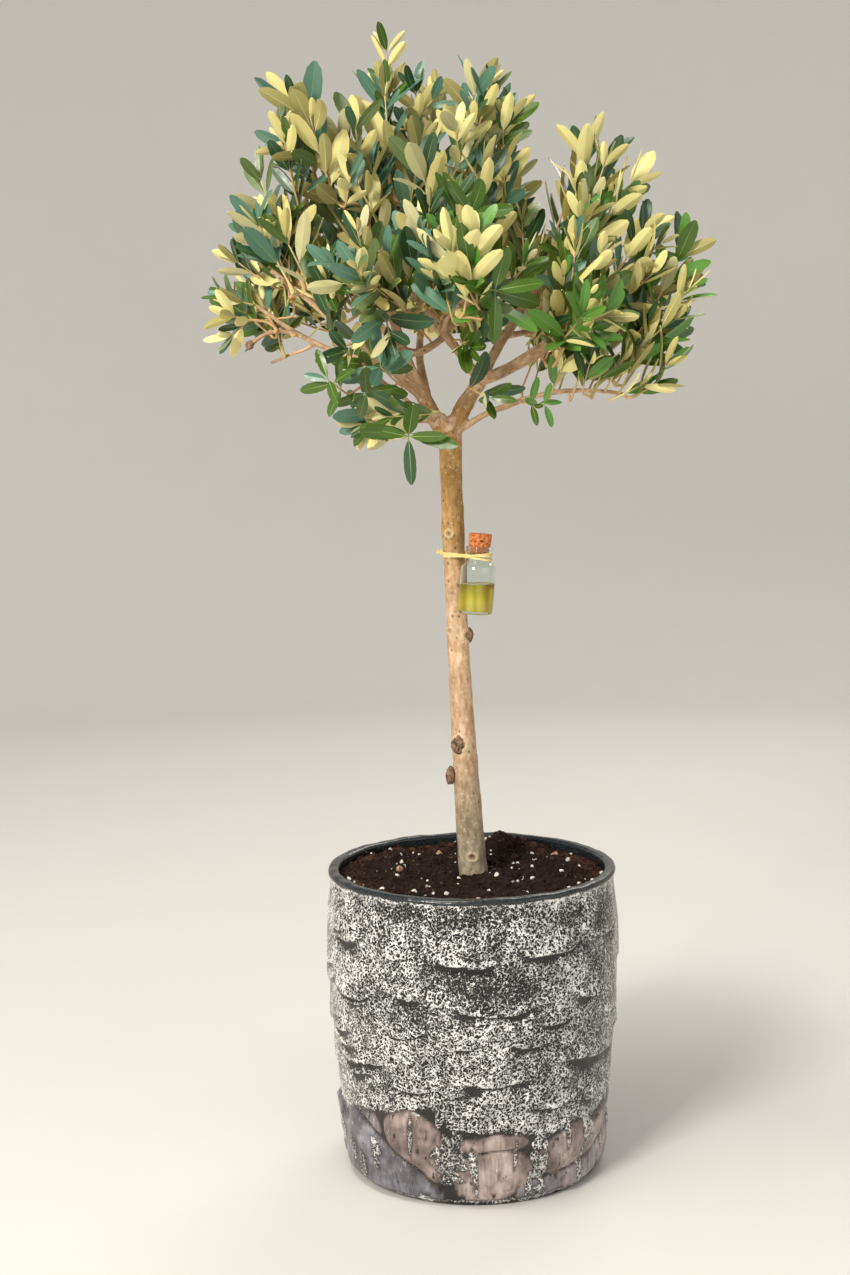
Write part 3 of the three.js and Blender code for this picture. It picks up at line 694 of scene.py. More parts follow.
# Agglomerated cork: ground and pressed into a block, which gives the eye orange-brown grains with
# dark seams and pores between them
def pressed_cork():
    material, tree, shader = new_material("pressed_cork", Roughness=0.85, Specular_IOR_Level=0.25)
    place = place_in(tree)
    cells = add(tree, CELLS, {"Scale": 1 / (1.9 * MM), "Vector": place}, "Color")
    spots = add(tree, NOISE, grains(place, 1.3, 3.0, 0.65))
    colour = tones(tree, add(tree, "ShaderNodeSeparateColor", {0: cells}), 0, 1, "#B4602E", "#DE9258")
    seams = add(tree, RANGE, {0: spots, 1: 0.40, 2: 0.33})
    colour = tones(tree, seams, 0, 1, colour, "#5B2912")
    dress(tree, shader, colour, weighted(tree, spots, (seams, -1.0)), 0.5)
    return material


# Raffia: split and dried palm leaf, pale yellow with a dry sheen and long fibres
def raffia_fibre():
    return mottled("split_raffia", (1, 0.08, 1), (0.35, 3.0, 0.6, 0.35, 0.65), ("#D9B95E", "#F7E9A8"), 0.2,
                   "strand_place", Roughness=0.55, Specular_IOR_Level=0.4, Sheen_Weight=0.25)


# Studio floor: matt rolled paper, pale and nearly even
def studio_floor():
    material, tree, shader = new_material("matt_pale_floor", Roughness=0.8, Specular_IOR_Level=0.2)
    mottle = add(tree, NOISE, grains(place_in(tree), 60, 3.0))
    tree.links.new(tones(tree, mottle, 0.3, 0.7, "#DAD8D4", "#DBD9D5"), shader.inputs["Base Color"])
    return material


def make_camera():
    """Stands the camera where the picture was taken from, with its slight roll."""
    ahead = np.array((0, math.cos(CAMERA_PITCH), -math.sin(CAMERA_PITCH)))
    right = np.array((1.0, 0, 0))
    down = np.cross(ahead, right)
    across = math.cos(CAMERA_ROLL) * right + math.sin(CAMERA_ROLL) * down
    upward = math.sin(CAMERA_ROLL) * right - math.cos(CAMERA_ROLL) * down
    lens = bpy.data.cameras.new("picture_camera")
    lens.lens = CAMERA_LENS
    lens.clip_end = 50
    camera = bpy.data.objects.new("picture_camera", lens)
    turn = Matrix([across, upward, -ahead]).transposed().to_4x4()
    camera.matrix_world = Matrix.Translation(Vector(metres(CAMERA_PLACE))) @ turn
    bpy.context.scene.collection.objects.link(camera)
    bpy.context.scene.camera = camera


def make_studio():
    """A pale floor, a pale room and four soft lights."""
    rise = [(FLOOR_RADIUS + FLOOR_BEND * math.sin(a), FLOOR_BEND * (1 - math.cos(a)))
            for a in np.linspace(0, math.pi / 2, 16)]
    section = [(0, 0), (FLOOR_FLAT, 0)] + rise + [(FLOOR_RADIUS + FLOOR_BEND, WALL_HEIGHT)]
    turned("floor", section, 96, studio_floor())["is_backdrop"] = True
    world = bpy.data.worlds.new("pale_room")
    world.use_nodes = True
    sky = world.node_tree.nodes["Background"]
    sky.inputs["Color"].default_value = linear("#DDE1E4")
    sky.inputs["Strength"].default_value = ROOM_LIGHT
    bpy.context.scene.world = world
    for name, place, size, power, colour in LIGHTS:
        light = bpy.data.lights.new(name, "AREA")
        light.size, light.energy, light.color = size, power, linear(colour)[:3]
        lamp = bpy.data.objects.new(name, light)
        turn = (Vector(LIGHTS_AIM) - Vector(place)).to_track_quat("-Z", "Y")
        lamp.matrix_world = Matrix.Translation(place) @ turn.to_matrix().to_4x4()
        bpy.context.scene.collection.objects.link(lamp)
    bpy.context.scene.view_settings.view_transform = "Standard"


def pot_wall():
    """The pot's wall as a smooth curve through its knots."""
    radii, knots = np.array(POT_WALL, float).T
    slopes = np.gradient(radii, knots)
    wall = []
    for z in np.linspace(knots[0], knots[-1], POT_WALL_ROWS):
        k = min(np.searchsorted(knots, z, side="right") - 1, len(knots) - 2)
        span = knots[k + 1] - knots[k]
        t = (z - knots[k]) / span
        start, end = (2 * t ** 3 - 3 * t ** 2 + 1) * radii[k], (3 * t ** 2 - 2 * t ** 3) * radii[k + 1]
        bend = (t ** 3 - 2 * t ** 2 + t) * slopes[k] + (t ** 3 - t ** 2) * slopes[k + 1]
        wall.append((start + end + bend * span, z))
    return wall


def pot_section():
    """The pot's section from the middle of its foot, up over the lip and down to its floor."""
    foot = [(0, 0), (40, 0), (80, 0), (94, 0)]
    for a in np.linspace(-0.2, math.pi / 2, 7):
        height = POT_FOOT_ROUND - POT_FOOT_ROUND * math.cos(a) * (1 + 0.3 * math.sin(a))
        foot.append((POT_FOOT_RADIUS + POT_FOOT_ROUND * math.sin(a), max(height, 0)))
    turns = np.linspace(0.2, math.pi / 2, 5)
    rise = [POT_LIP_HEIGHT + POT_LIP_ROUND * math.sin(a) for a in turns]
    inset = [POT_LIP_ROUND - POT_LIP_ROUND * math.cos(a) for a in turns]
    lip = [(POT_WALL[-1][0] - back, z) for back, z in zip(inset, rise)]
    lip += [(POT_INSIDE[0][0] + back, z) for back, z in zip(inset[::-1], rise[::-1])]
    return foot + pot_wall()[1:] + lip + POT_INSIDE


def around(angles, middle):
    """Degrees from the middle of a feature, the short way round."""
    return (angles - middle + 180) % 360 - 180


def back_folds(chance):
    """Folds of glaze on the sides of the pot that face away, of the same make as those in front."""
    folds = []
    for row, height in enumerate(FOLD_ROWS):
        angle = FOLD_GAP[0] + row % 2 * 11
        while angle < FOLD_GAP[1]:
            half = chance.uniform(9, 22)
            if chance.random() > 0.2:
                folds.append((angle + half, height + chance.uniform(-15, 13), half + 2,
                              chance.uniform(3, 13), chance.uniform(1.4, 3.0),
                              chance.uniform(32, 46)))
            angle += half * 2 * 0.84
    return folds


def back_stones(chance):
    """Bare stones low on the far sides."""
    stones = []
    for row, (height, half_height) in enumerate(STONE_ROWS):
        angle = STONE_GAP[0] + row * 14
        while angle < STONE_GAP[1]:
            half = chance.uniform(22, 36)
            step = math.degrees(half / POT_WALL[0][0])
            stones.append((angle + step, height + chance.uniform(-3, 5), half,
                           half_height * chance.uniform(0.85, 1.1), chance.uniform(3.2, 4.2),
                           chance.uniform(-14, 14), chance.uniform(0, 1)))
            angle += step * 2 + 1.5
    return stones


def oval(angles, heights, middle, height, half, half_height):
    """How far out each place is from the middle of an oval on the wall: 1 on its edge."""
    return (around(angles, middle) / half) ** 2 + ((heights - height) / half_height) ** 2


def fold_relief(angles, heights, flow, sway, chance):
    """How proud the folds of glaze stand, the hollows under them, whose glaze is darkened there as
    painted shade, and the crests of their edges.
    """
    shadow = 3.6 * np.clip(1 + waves(flow, 24, 10) * 2.4, 0.35, 2.2)
    proud, hollow_and_shade, crest = np.zeros((3, len(angles)))
    for middle, edge, half, rise, stand, length in GLAZE_FOLDS + back_folds(chance):
        across = np.abs(around(angles, middle) / half)
        above = heights - (edge + rise * across ** 2.4 + sway * 0.5)
        fade = np.clip(1 - across ** 2.2, 0, None)
        body = stand * np.clip(1 - above / length, 0, 1) ** 1.15 * smooth_step(-1.4, 1.2, above)
        # Below each edge the glaze is darkened as painted shade, over a band as deep as the uneven shadow
        # and the fold's stand give
        under = np.exp(-(np.clip(-above, 0, None) / (shadow * stand / 2.8)) ** 1.5) * (above < 0)
        over = np.exp(-np.clip(above, 0, None) / 2.6) * (above >= 0)
        proud = np.maximum(proud, body * fade)
        hollow_and_shade = np.maximum(hollow_and_shade, under * min(1, stand / 2.4) * fade)
        crest = np.maximum(crest, over * fade)
    return proud, hollow_and_shade, crest


def stone_relief(angles, heights, sway, chance):
    """How much of the wall is stone, how proud the stones stand and how blue they are."""
    share, proud, tint = np.zeros((3, len(angles)))
    for middle, height, half, half_height, stand, turn, blue in back_stones(chance) + GLAZE_STONES:
        x = np.radians(around(angles, middle)) * STONE_RADIUS + sway * 0.35
        z = heights - height + sway * 0.2
        c, s = math.cos(math.radians(turn)), math.sin(math.radians(turn))
        size = np.abs((x * c + z * s) / half) ** 2.5 + np.abs((z * c - x * s) / half_height) ** 2.3
        # Round each stone a ring clears the stones behind it, so black is left between them as a painted
        # shadow line over the black glaze
        inside, clear = smooth_step(1.0, 0.93, size), smooth_step(1.0, 1.3, size)
        share = share * clear + inside
        proud = proud * clear + stand * np.clip(1 - size, 0, 1) ** 0.42
        tint = tint * clear + inside * blue
    return share, proud, tint


def pot_relief(angles, heights):
    """How far the wall stands proud at each place in mm, and the glaze's shares there."""
    chance = random.Random(7)
    turns = np.radians(angles)
    flow = np.stack([np.cos(turns) * FLOW_RADIUS, np.sin(turns) * FLOW_RADIUS, heights], 1)
    sway = waves(flow, 34, 1) * 7 + waves(flow, 13, 2) * 2.2
    swing = waves(flow, 40, 3) * 3.2
    folds, hollow_and_shade, crest = fold_relief(angles + swing, heights, flow, sway, chance)
    stone, stones, tint = stone_relief(angles, heights, sway, chance)
    # The white glaze ends in an uneven edge above the stones, and runs down between them
    gap = 1 - np.clip(stone, 0, 1)
    meander = np.stack([flow[:, 0] + sway * 0.3, flow[:, 1] + swing * 0.6, heights * 0.3], 1)
    drips = smooth_step(0.33, 0.45, waves(meander, 11, 5) + gap * 0.21)
    fray = waves(flow, 6, 13) * 1.3
    for run in GLAZE_RUNS:
        size = oval(angles + swing * 0.8, heights, *run) + fray
        drips = np.maximum(drips, smooth_step(1.3, 0.8, size))
    below = heights - from_table(angles, GLAZE_EDGE) + waves(flow, 38, 8) * 16 + sway * 0.6
    low = smooth_step(4.5, -4.5, below)
    mottle = smooth_step(-0.15, 0.2, waves(flow, 8, 12))
    # In the low band the white is gone save on the drips: stones show where they lie, and between them
    # black that is painted shadow as well as black glaze, with a few white threads let back
    bare = low * (1 - drips) * (1 - gap * mottle * 0.72)
    thin = np.zeros(len(angles))
    for spot in THIN_GLAZE:
        size = oval(angles + swing, heights + sway * 0.4, *spot)
        thin = np.maximum(thin, smooth_step(1.6, 0.2, size))
    # The dark lip with a pale line under it, partly a painted highlight along the lip's edge and partly
    # thinner glaze, and another pale line at the foot
    above_lip = heights - 255.6 - waves(flow, 13, 6) * 1.7
    lip = smooth_step(-0.6, 0.9, above_lip)
    under_lip = np.exp(-((above_lip + 1.6) / 1.1) ** 2)
    foot = np.exp(-((heights - 3.4) / 1.4) ** 2)
    wall = smooth_step(1, 7, heights) * smooth_step(254, 247, heights)
    lumps = waves(flow, 46, 4) * 0.7 + waves(flow, 17, 11) * 0.9
    proud = lumps + folds * 1.2 * (1 - low * 0.5) + stones * low * (1.25 + drips * 0.12) - 1.4 * hollow_and_shade
    # The black under the folds' edges is painted shade, over glaze that is also thinner there
    white = np.clip(1 - hollow_and_shade * 0.62 - bare * (1 - foot) - thin * 0.11, 0, 1) * (1 - lip)
    # The crests also take the pale line under the lip, partly a painted highlight, and the pale line at the
    # foot
    crest = np.clip(crest + under_lip * 1.6 + foot * 1.5, 0, 2)
    stone = stone * (1 - drips * 0.85) * smooth_step(1.5, 4, heights)
    stone = np.maximum(stone * low, bare * 0.04) * (1 - foot)
    return proud * wall - 2.0, white, crest, stone, lip, tint


def make_pot():
    """The glazed pot: one turned body whose wall is drawn out into folds of glaze and bare stones."""
    pot = turned("glazed_pot", pot_section(), POT_COLUMNS, speckled_glaze())
    points = points_of(pot)
    radius = np.hypot(points[:, 0], points[:, 1]) / MM
    angles = np.degrees(np.arctan2(points[:, 0], -points[:, 1]))
    heights = points[:, 2] / MM
    wall_line = np.interp(heights, [z for _, z in POT_WALL], [r for r, _ in POT_WALL])
    inner = (radius < wall_line - 4) & (heights > 13.5)
    outside = (heights > 1.0) & ~inner & (radius > POT_FOOT_RADIUS - 4)
    values = np.zeros((6, len(points)))
    values[:, outside] = pot_relief(angles[outside], heights[outside])
    shares = dict(zip(GLAZE_SHARES, values[1:]))
    shares["lip_glaze"][inner | (heights > POT_LIP_HEIGHT)] = 1
    fade = smooth_step(1, 5, heights) * smooth_step(256, 250, heights) * outside
    shift = (values[0] * fade * MM / np.maximum(radius * MM, 1e-6))[:, None]
    points[:, :2] += points[:, :2] * shift
    points[:, 2] += waves(points, 0.015, 9) * smooth_step(249, 257, heights) * 0.9 * MM
    move_points(pot, points)
    for name, share in shares.items():
        carry(pot, name, share)
    settle(pot, ["pot"])


def grain_shapes(chance):
    """Three broken grains that the scattered crumbs are copies of, out of the picture's way."""
    shapes = bpy.data.collections.new("grain_shapes")
    for number in range(3):
        work = bmesh.new()
        for i in range(14):
            height, turn = 1 - 2 * (i + 0.5) / 14, i * 2.39996
            flat, stretch = math.sqrt(1 - height * height), chance.uniform(0.72, 1.15)
            corner = Vector((flat * math.cos(turn), flat * math.sin(turn), height * 0.8))
            work.verts.new(corner * stretch)
        bmesh.ops.convex_hull(work, input=work.verts)
        mesh = bpy.data.meshes.new("grain")
        work.to_mesh(mesh)
        work.free()
        shapes.objects.link(bpy.data.objects.new("grain_%d" % number, mesh))
    return shapes


def scatter_tree():
    """A node tree that strews copies of a few shapes over a ground, at random sizes and turns."""
    tree = bpy.data.node_groups.new("strew", "GeometryNodeTree")
    for name, kind in (("Ground", "Geometry"), ("Shapes", "Collection"), ("Density", "Float"),
                       ("Smallest", "Float"), ("Largest", "Float"), ("Seed", "Int"),
                       ("Finish", "Material")):
        tree.interface.new_socket(name, in_out="INPUT", socket_type="NodeSocket" + kind)
    tree.interface.new_socket("Grains", in_out="OUTPUT", socket_type="NodeSocketGeometry")
    given = add(tree, "NodeGroupInput", output=None).outputs
    spread = add(tree, "GeometryNodeDistributePointsOnFaces",
                 {"Mesh": given["Ground"], "Density": given["Density"], "Seed": given["Seed"]}, "Points")
    shapes = add(tree, "GeometryNodeCollectionInfo",
                 {"Separate Children": True, "Reset Children": True, "Collection": given["Shapes"]})
    size = add(tree, "FunctionNodeRandomValue",
               {2: given["Smallest"], 3: given["Largest"], "Seed": given["Seed"]}, 1, data_type="FLOAT")
    turn = add(tree, "FunctionNodeRandomValue", {"Max": (6.28, 6.28, 6.28), "Seed": given["Seed"]},
               data_type="FLOAT_VECTOR")
    strewn = add(tree, "GeometryNodeInstanceOnPoints",
                 {"Pick Instance": True, "Points": spread, "Instance": shapes,
                  "Rotation": turn, "Scale": size})
    real = add(tree, "GeometryNodeRealizeInstances", {"Geometry": strewn})
    done = add(tree, "GeometryNodeSetMaterial", {"Geometry": real, "Material": given["Finish"]})
    add(tree, "NodeGroupOutput", {"Grains": done}, output=None)
    return tree


def strew(name, ground, tree, inputs):
    """Strews one kind of grain over the ground and keeps it as a plain mesh."""
    thing = bpy.data.objects.new(name, ground.data.copy())
    bpy.context.scene.collection.objects.link(thing)
    modifier = thing.modifiers.new("strew", "NODES")
    modifier.node_group = tree
    given = {item.name: item.identifier for item in tree.interface.items_tree}
    for label, value in inputs.items():
        modifier[given[label]] = value
    return applied(thing)


def make_soil_body():
    """Peat with a lumpy top; gives the part of its top that grains may lie on."""
    rings = np.linspace(0, SOIL_LINE[-1][0], 62)
    section = SOIL_FLOOR[::-1] + [(r, from_table(r, SOIL_LINE)) for r in rings[::-1]]
    soil = turned("potting_soil", section, 200, peat())
    points = points_of(soil)
    radius = np.hypot(points[:, 0], points[:, 1]) / MM
    upper = points[:, 2] > SOIL_TOP_FROM * MM
    spots = points[upper]
    lump = waves(spots, 0.021, 1) * 4.6 + waves(spots, 0.008, 2) * 3.6
    lump += np.abs(waves(spots, 0.0028, 3)) * 1.6
    for x, depth, high, wide in SOIL_MOUNDS:
        away = np.hypot(spots[:, 0] / MM - x, spots[:, 1] / MM - depth)
        lump += high * np.exp(-(away / wide) ** 2)
    edge = smooth_step(SOIL_LINE[-1][0], 110, radius[upper])
    points[upper, 2] += (lump * edge - 0.6) * MM
    move_points(soil, points)
    carry(soil, "near_wall", smooth_step(70, 114, radius) * 0.5)
    settle(soil, ["soil"])
    nearest, furthest = GRAIN_RING
    tops = [tuple(f.vertices) for f in soil.data.polygons
            if f.normal.z > 0.3 and f.center.z > SOIL_TOP_FROM * MM
            and nearest < math.hypot(f.center.x, f.center.y) / MM < furthest]
    return mesh_object("soil_top", points, tops)


def make_soil():
    """The soil, strewn with crumbs, fibres and white grains."""
    ground = make_soil_body()
    tree, shapes = scatter_tree(), grain_shapes(random.Random(11))
    finishes = {kind: crumb_material(kind, *look) for kind, look in GRAIN_KINDS.items()}
    for name, density, smallest, largest, seed, kind in SOIL_GRAINS:
        inputs = {"Shapes": shapes, "Density": density, "Smallest": smallest * MM,
                  "Largest": largest * MM, "Seed": seed, "Finish": finishes[kind]}
        settle(strew(name, ground, tree, inputs))
    for shape in list(shapes.objects) + [ground]:
        bpy.data.objects.remove(shape)
    bpy.data.collections.remove(shapes)


def trunk_line():
    """The stem's middle line and its radius along it."""
    share = np.linspace(0, 1, 140)[:, None]
    foot, top = metres(TRUNK_FOOT), metres(TRUNK_TOP)
    line = foot + (top - foot) * share
    line[:, 0] += (4 * share * (1 - share))[:, 0] * TRUNK_BEND * MM
    heights, widths = zip(*TRUNK_WIDTHS)
    return line, np.interp(line[:, 2] / MM, heights, widths) * MM / 2


def limb_line(start, tip, bow, widths, seed):
    """A limb's middle line and radius: it bows, sways a little and tapers."""
    chord = metres(tip) - start
    side = unit(np.cross(UP, chord))
    share = np.linspace(0, 1, int(np.linalg.norm(chord) / (3 * MM)) + 2)[:, None]
    swell = 4 * share * (1 - share)
    line = start + chord * share + UP * swell * bow[0] * MM + side * swell * bow[1] * MM
    sway = np.stack([waves(line, 0.03, seed + k) for k in range(3)], 1)
    line = line + sway * np.sin(share * math.pi) * 2.2 * MM
    radii = (widths[0] + (widths[1] - widths[0]) * share[:, 0] - LIMB_SLACK) * MM / 2
    return line, radii * (1 + 0.10 * waves(line, 0.014, seed + 5))


def on_line(line, at):
    """The point at a share of a line's length."""
    index = at * (len(line) - 1)
    low = min(int(index), len(line) - 2)
    return line[low] + (line[low + 1] - line[low]) * (index - low)


def limb_lines():
    """Every limb's middle line and radii, by name."""
    lines = {"trunk": trunk_line()}
    for seed, (name, parent, at, tip, bow, widths) in enumerate(LIMBS):
        lines[name] = limb_line(on_line(lines[parent][0], at), tip, bow, widths, seed * 9)
    return lines


def carried_frames(line):
    """At each point of a line its direction and two sides, carried along without a twist."""
    ahead = unit(np.gradient(line, axis=0))
    side = unit(np.cross(ahead[0], (0.31, 0.95, 0.11)))
    sides = []
    for direction in ahead:
        side = unit(side - direction * np.dot(side, direction))
        sides.append(side)
    sides = np.array(sides)
    return ahead, sides, np.cross(ahead, sides)


def run_along(line):
    """How far along a line each of its points is."""
    return np.concatenate([[0], np.cumsum(np.linalg.norm(np.diff(line, axis=0), axis=1))])


def tube_faces(rings, sides):
    """The faces of a tube whose points come ring by ring, closed at both ends."""
    faces = []
    for i in range(rings - 1):
        for j in range(sides):
            k = (j + 1) % sides
            faces.append((i * sides + j, i * sides + k, (i + 1) * sides + k, (i + 1) * sides + j))
    faces.append(tuple(range(sides))[::-1])
    faces.append(tuple(range((rings - 1) * sides, rings * sides)))
    return faces


def tube(line, radii, sides):
    """Points and faces of a round limb along a line, closed at both ends."""
    _, first, second = carried_frames(line)
    turns = np.arange(sides) * 2 * math.pi / sides
    ring = first[:, None] * np.cos(turns)[None, :, None] + second[:, None] * np.sin(turns)[None, :, None]
    points = (line[:, None] + ring * radii[:, None, None]).reshape(-1, 3)
    return points, tube_faces(len(line), sides)


def joined(parts):
    """Several lists of points and faces as one."""
    points, faces, start = [], [], 0
    for some_points, some_faces in parts:
        points.append(some_points)
        faces += [tuple(i + start for i in face) for face in some_faces]
        start += len(some_points)
    return np.vstack(points), faces


def one_skin(lines):
    """Stem and boughs as tubes, remeshed into one skin with soft forks."""
    parts = [tube(line, radii, TRUNK_SIDES if name == "trunk" else LIMB_SIDES)
             for name, (line, radii) in lines.items()]
    wood = mesh_object("stem_and_boughs", *joined(parts))
    remesh = wood.modifiers.new("one_skin", "REMESH")
    remesh.mode = "VOXEL"
    remesh.voxel_size = WOOD_VOXEL * MM
    soften = wood.modifiers.new("soft_forks", "SMOOTH")
    soften.factor = 0.5
    soften.iterations = 7
    applied(wood)
    wood.data.materials.append(olive_bark())
    wood.data.polygons.foreach_set("use_smooth", [True] * len(wood.data.polygons))
    return wood


def on_limbs(lines, points):
    """For each point of the skin its place round and along the nearest limb, that limb's radius and
    how young its wood is."""
    rows = []
    for number, (line, radius) in enumerate(lines.values()):
        _, first, second = carried_frames(line)
        youth = smooth_step(YOUNG_WOOD[0] * MM, YOUNG_WOOD[1] * MM, radius)
        rows.append(np.column_stack([line, first, second, run_along(line) + number * 0.37, radius, youth]))
    rows = np.vstack(rows)
    tree = kdtree.KDTree(len(rows))
    for i, row in enumerate(rows):
        tree.insert(row[:3], i)
    tree.balance()
    near = rows[[tree.find(Vector(p))[1] for p in points]]
    first, second = near[:, 3:6], near[:, 6:9]
    run, reach, youth = near[:, 9:].T
    arm = points - near[:, :3]
    turn = np.arctan2(np.sum(arm * second, 1), np.sum(arm * first, 1))
    along = run + np.sum(arm * unit(np.cross(first, second)), 1)
    return np.stack([np.cos(turn) * reach, np.sin(turn) * reach, along], 1), reach, youth


def make_wood(lines):
    """Stem and boughs in one skin, with the bark's relief and the scars of old twigs."""
    wood = one_skin(lines)
    points, normals = points_of(wood), points_of(wood, "normal")
    place, reach, youth = on_limbs(lines, points)
    ridges = waves(place * (1, 1, 0.22), 0.0042, 1) * 0.34 + waves(place * (1, 1, 0.3), 0.0019, 2) * 0.16
    lumps = waves(place, 0.012, 3) * 0.45
    lift = (ridges + lumps) * np.clip(reach / (9 * MM), 0.3, 1.0)
    rim, eye = np.zeros((2, len(points)))
    fray = waves(points, 0.003, 9) * 0.7
    for centre, radius, height, depth in SCARS:
        away = np.linalg.norm((points - metres(centre)) * (1, 1, 1.25), axis=1) / MM + fray
        ring = np.exp(-((away - radius * 0.75) / (radius * 0.26)) ** 2)
        pit = np.exp(-(away / (radius * 0.4)) ** 2)
        lift += ring * height - pit * depth
        rim, eye = np.maximum(rim, ring), np.maximum(eye, pit)
    move_points(wood, points + normals * (lift * MM)[:, None])
    carry(wood, "bark_place", place)
    carry(wood, "young_wood", youth)
    carry(wood, "scar_rim", np.clip(rim, 0, 1) * 0.8)
    carry(wood, "scar_eye", np.clip(eye * 1.2, 0, 1))
    settle(wood, list(lines))


def ball(rows, columns):
    """Points and faces of a round ball: its rings from the top down, then its two poles."""
    polar = math.pi * np.arange(1, rows)[:, None] / rows
    turn = 2 * math.pi * np.arange(columns)[None] / columns
    flat = np.sin(polar)
    rings = np.stack([flat * np.cos(turn), flat * np.sin(turn), np.cos(polar) + turn * 0], 2)
    points = np.vstack([rings.reshape(-1, 3), (0, 0, 1), (0, 0, -1)])
    last, top = (rows - 2) * columns, (rows - 1) * columns
    faces = []
    for j in range(columns):
        k = (j + 1) % columns
        faces += [(i + j, i + columns + j, i + columns + k, i + k) for i in range(0, last, columns)]
        faces += [(top, j, k), (top + 1, last + k, last + j)]
    return points, faces


def make_stubs():
    """Brown, cracked stubs where twigs were cut from the stem."""
    parts = []
    points, faces = ball(STUB_ROWS, STUB_COLUMNS)
    for number, (place, half) in enumerate(STUBS):
        lift = 1 + 0.22 * waves(points, 0.5, number) + 0.10 * waves(points, 0.2, number + 5)
        parts.append((points * lift[:, None] * metres(half) + metres(place), faces))
    settle(mesh_object("cut_stubs", *joined(parts), [scab()]))


def crown_masses():
    """The masses of leaves, each with its name, middle and half size."""
    masses = []
    for name in sorted(n for n in frame["nodes"] if n.startswith("foliage_")):
        low, high = (np.array(corner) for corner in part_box(name))
        masses.append((name, (low + high) / 2, (high - low) / 2))
    return masses


def seen_at(point):
    """A place from x and height as seen in the plane of the stem, and its depth behind that plane."""
    x, height, depth = metres(point)
    camera = metres(CAMERA_PLACE)
    in_plane = np.array((x, 0, height))
    return camera + (in_plane - camera) * (depth - camera[1]) / -camera[1]


def leading_shoots(masses):
    """The shoots that lead the crown's outline and its front."""
    shoots = []
    for foot, tip, leaf, facing in LEADING_SHOOTS:
        foot, tip = seen_at(foot), seen_at(tip)
        mass = min(masses, key=lambda m: np.linalg.norm((tip - m[1]) / m[2]))[0]
        shoots.append({"mass": mass, "foot": foot, "tip": tip, "direction": unit(tip - foot), "turned": 1,
                       "length": np.linalg.norm(tip - foot), "leaf": leaf * MM, "facing": facing})
    return shoots


def roomiest(middle, reach, outward, tips, chance):
    """Of some random places in a mass, the one furthest from all tips so far, and its way out."""
    best, best_room = None, -1
    for _ in range(SHOOT_TRIES):
        way = unit(np.array([chance.gauss(0, 1) for _ in range(3)]))
        if np.dot(way, outward) < INWARD_LIMIT:
            continue
        tip = middle + way * reach * chance.uniform(*SHOOT_REACH)
        room = min(np.linalg.norm(tip - other) for other in tips)
        if room > best_room:
            best, best_room = (tip, way), room
    return best


def mass_shoots(lines, chance):
    """The shoots of every mass of leaves: each has its mass, foot, direction and length."""
    wood = np.vstack([line[line[:, 2] > DRAWING_WOOD * MM] for line, _ in lines.values()])
    masses = crown_masses()
    shoots = leading_shoots(masses)
    tips = [shoot["tip"] for shoot in shoots]
    for name, middle, half in masses:
        outward = unit(middle - metres(CROWN_CORE))
        count = SHOOTS_PER_MASS * (np.prod(half) ** (2 / 3)) / (MASS_HALF_SIZE * MM) ** 2
        if middle[1] < OPEN_FRONT[0] * MM and middle[2] < OPEN_FRONT[1] * MM:
            count *= OPEN_SHARE
        count = round(count - 2 * sum(shoot["mass"] == name for shoot in shoots))
        reach = np.maximum(half - LEAF_ROOM * MM, LEAST_REACH * MM)
        for _ in range(count):
            tip, way = roomiest(middle, reach, outward, tips, chance)
            tips.append(tip)
            gaps = np.linalg.norm(wood - tip, axis=1)
            from_wood = unit(tip - wood[gaps.argmin()])
            lift = UP * from_table(tip[2], SHOOT_LIFTS)
            jitter = np.array([chance.gauss(0, 0.14) for _ in range(3)])
            direction = unit(from_wood * 0.7 + way * 0.2 + outward * 0.35 + lift + jitter)
            length = min(chance.uniform(*SHOOT_LENGTH) * MM, gaps.min() * 0.75 + 16 * MM)
            crown = tip - direction * TIP_ROOM * MM
            faces_out = chance.random() < from_table(tip[2], OUTWARD_SHARES)
            shoots.append({"mass": name, "foot": crown - direction * length, "tip": crown,
                           "direction": direction, "length": length, "facing": 0,
                           "turned": 1 if faces_out else -1, "leaf": chance.uniform(*LEAF_LENGTH) * MM})
    return shoots


def bearing_wood(lines):
    """The points of the limbs that twigs may grow from: their places, ways and radii."""
    places, ways, radii = [], [], []
    for name, (line, radius) in lines.items():
        keep = line[:, 2] > BEARING_WOOD * MM if name == "trunk" else np.arange(len(line)) >= len(line) // 3
        places.append(line[keep])
        ways.append(unit(np.gradient(line, axis=0))[keep])
        radii.append(radius[keep])
    return np.vstack(places), np.vstack(ways), np.concatenate(radii)


def twig_line(start, way, shoot, chance):
    """A twig's curve from the wood to its shoot's foot with the shoot after it, and the curve's count."""
    foot = shoot["foot"]
    distance = np.linalg.norm(foot - start)
    leave = unit(way * 0.5 + unit(foot - start) * 0.6)
    first = start + leave * distance * TWIG_HANDLE
    second = foot - shoot["direction"] * distance * TWIG_HANDLE
    t = np.linspace(0, 1, max(3, int(distance / (TWIG_STEP * MM))), endpoint=False)[:, None]
    curve = ((1 - t) ** 3 * start + 3 * (1 - t) ** 2 * t * first + 3 * (1 - t) * t ** 2 * second
             + t ** 3 * foot)
    run = np.linspace(0, 1, max(4, int(shoot["length"] / (TWIG_STEP * MM))))[:, None]
    side = unit(np.array([chance.gauss(0, 1) for _ in range(3)]))
    bend = (side * 0.06 + UP * 0.07) * shoot["length"]
    return np.vstack([curve, foot + (shoot["tip"] - foot) * run + bend * run * (run - 1)]), len(curve)


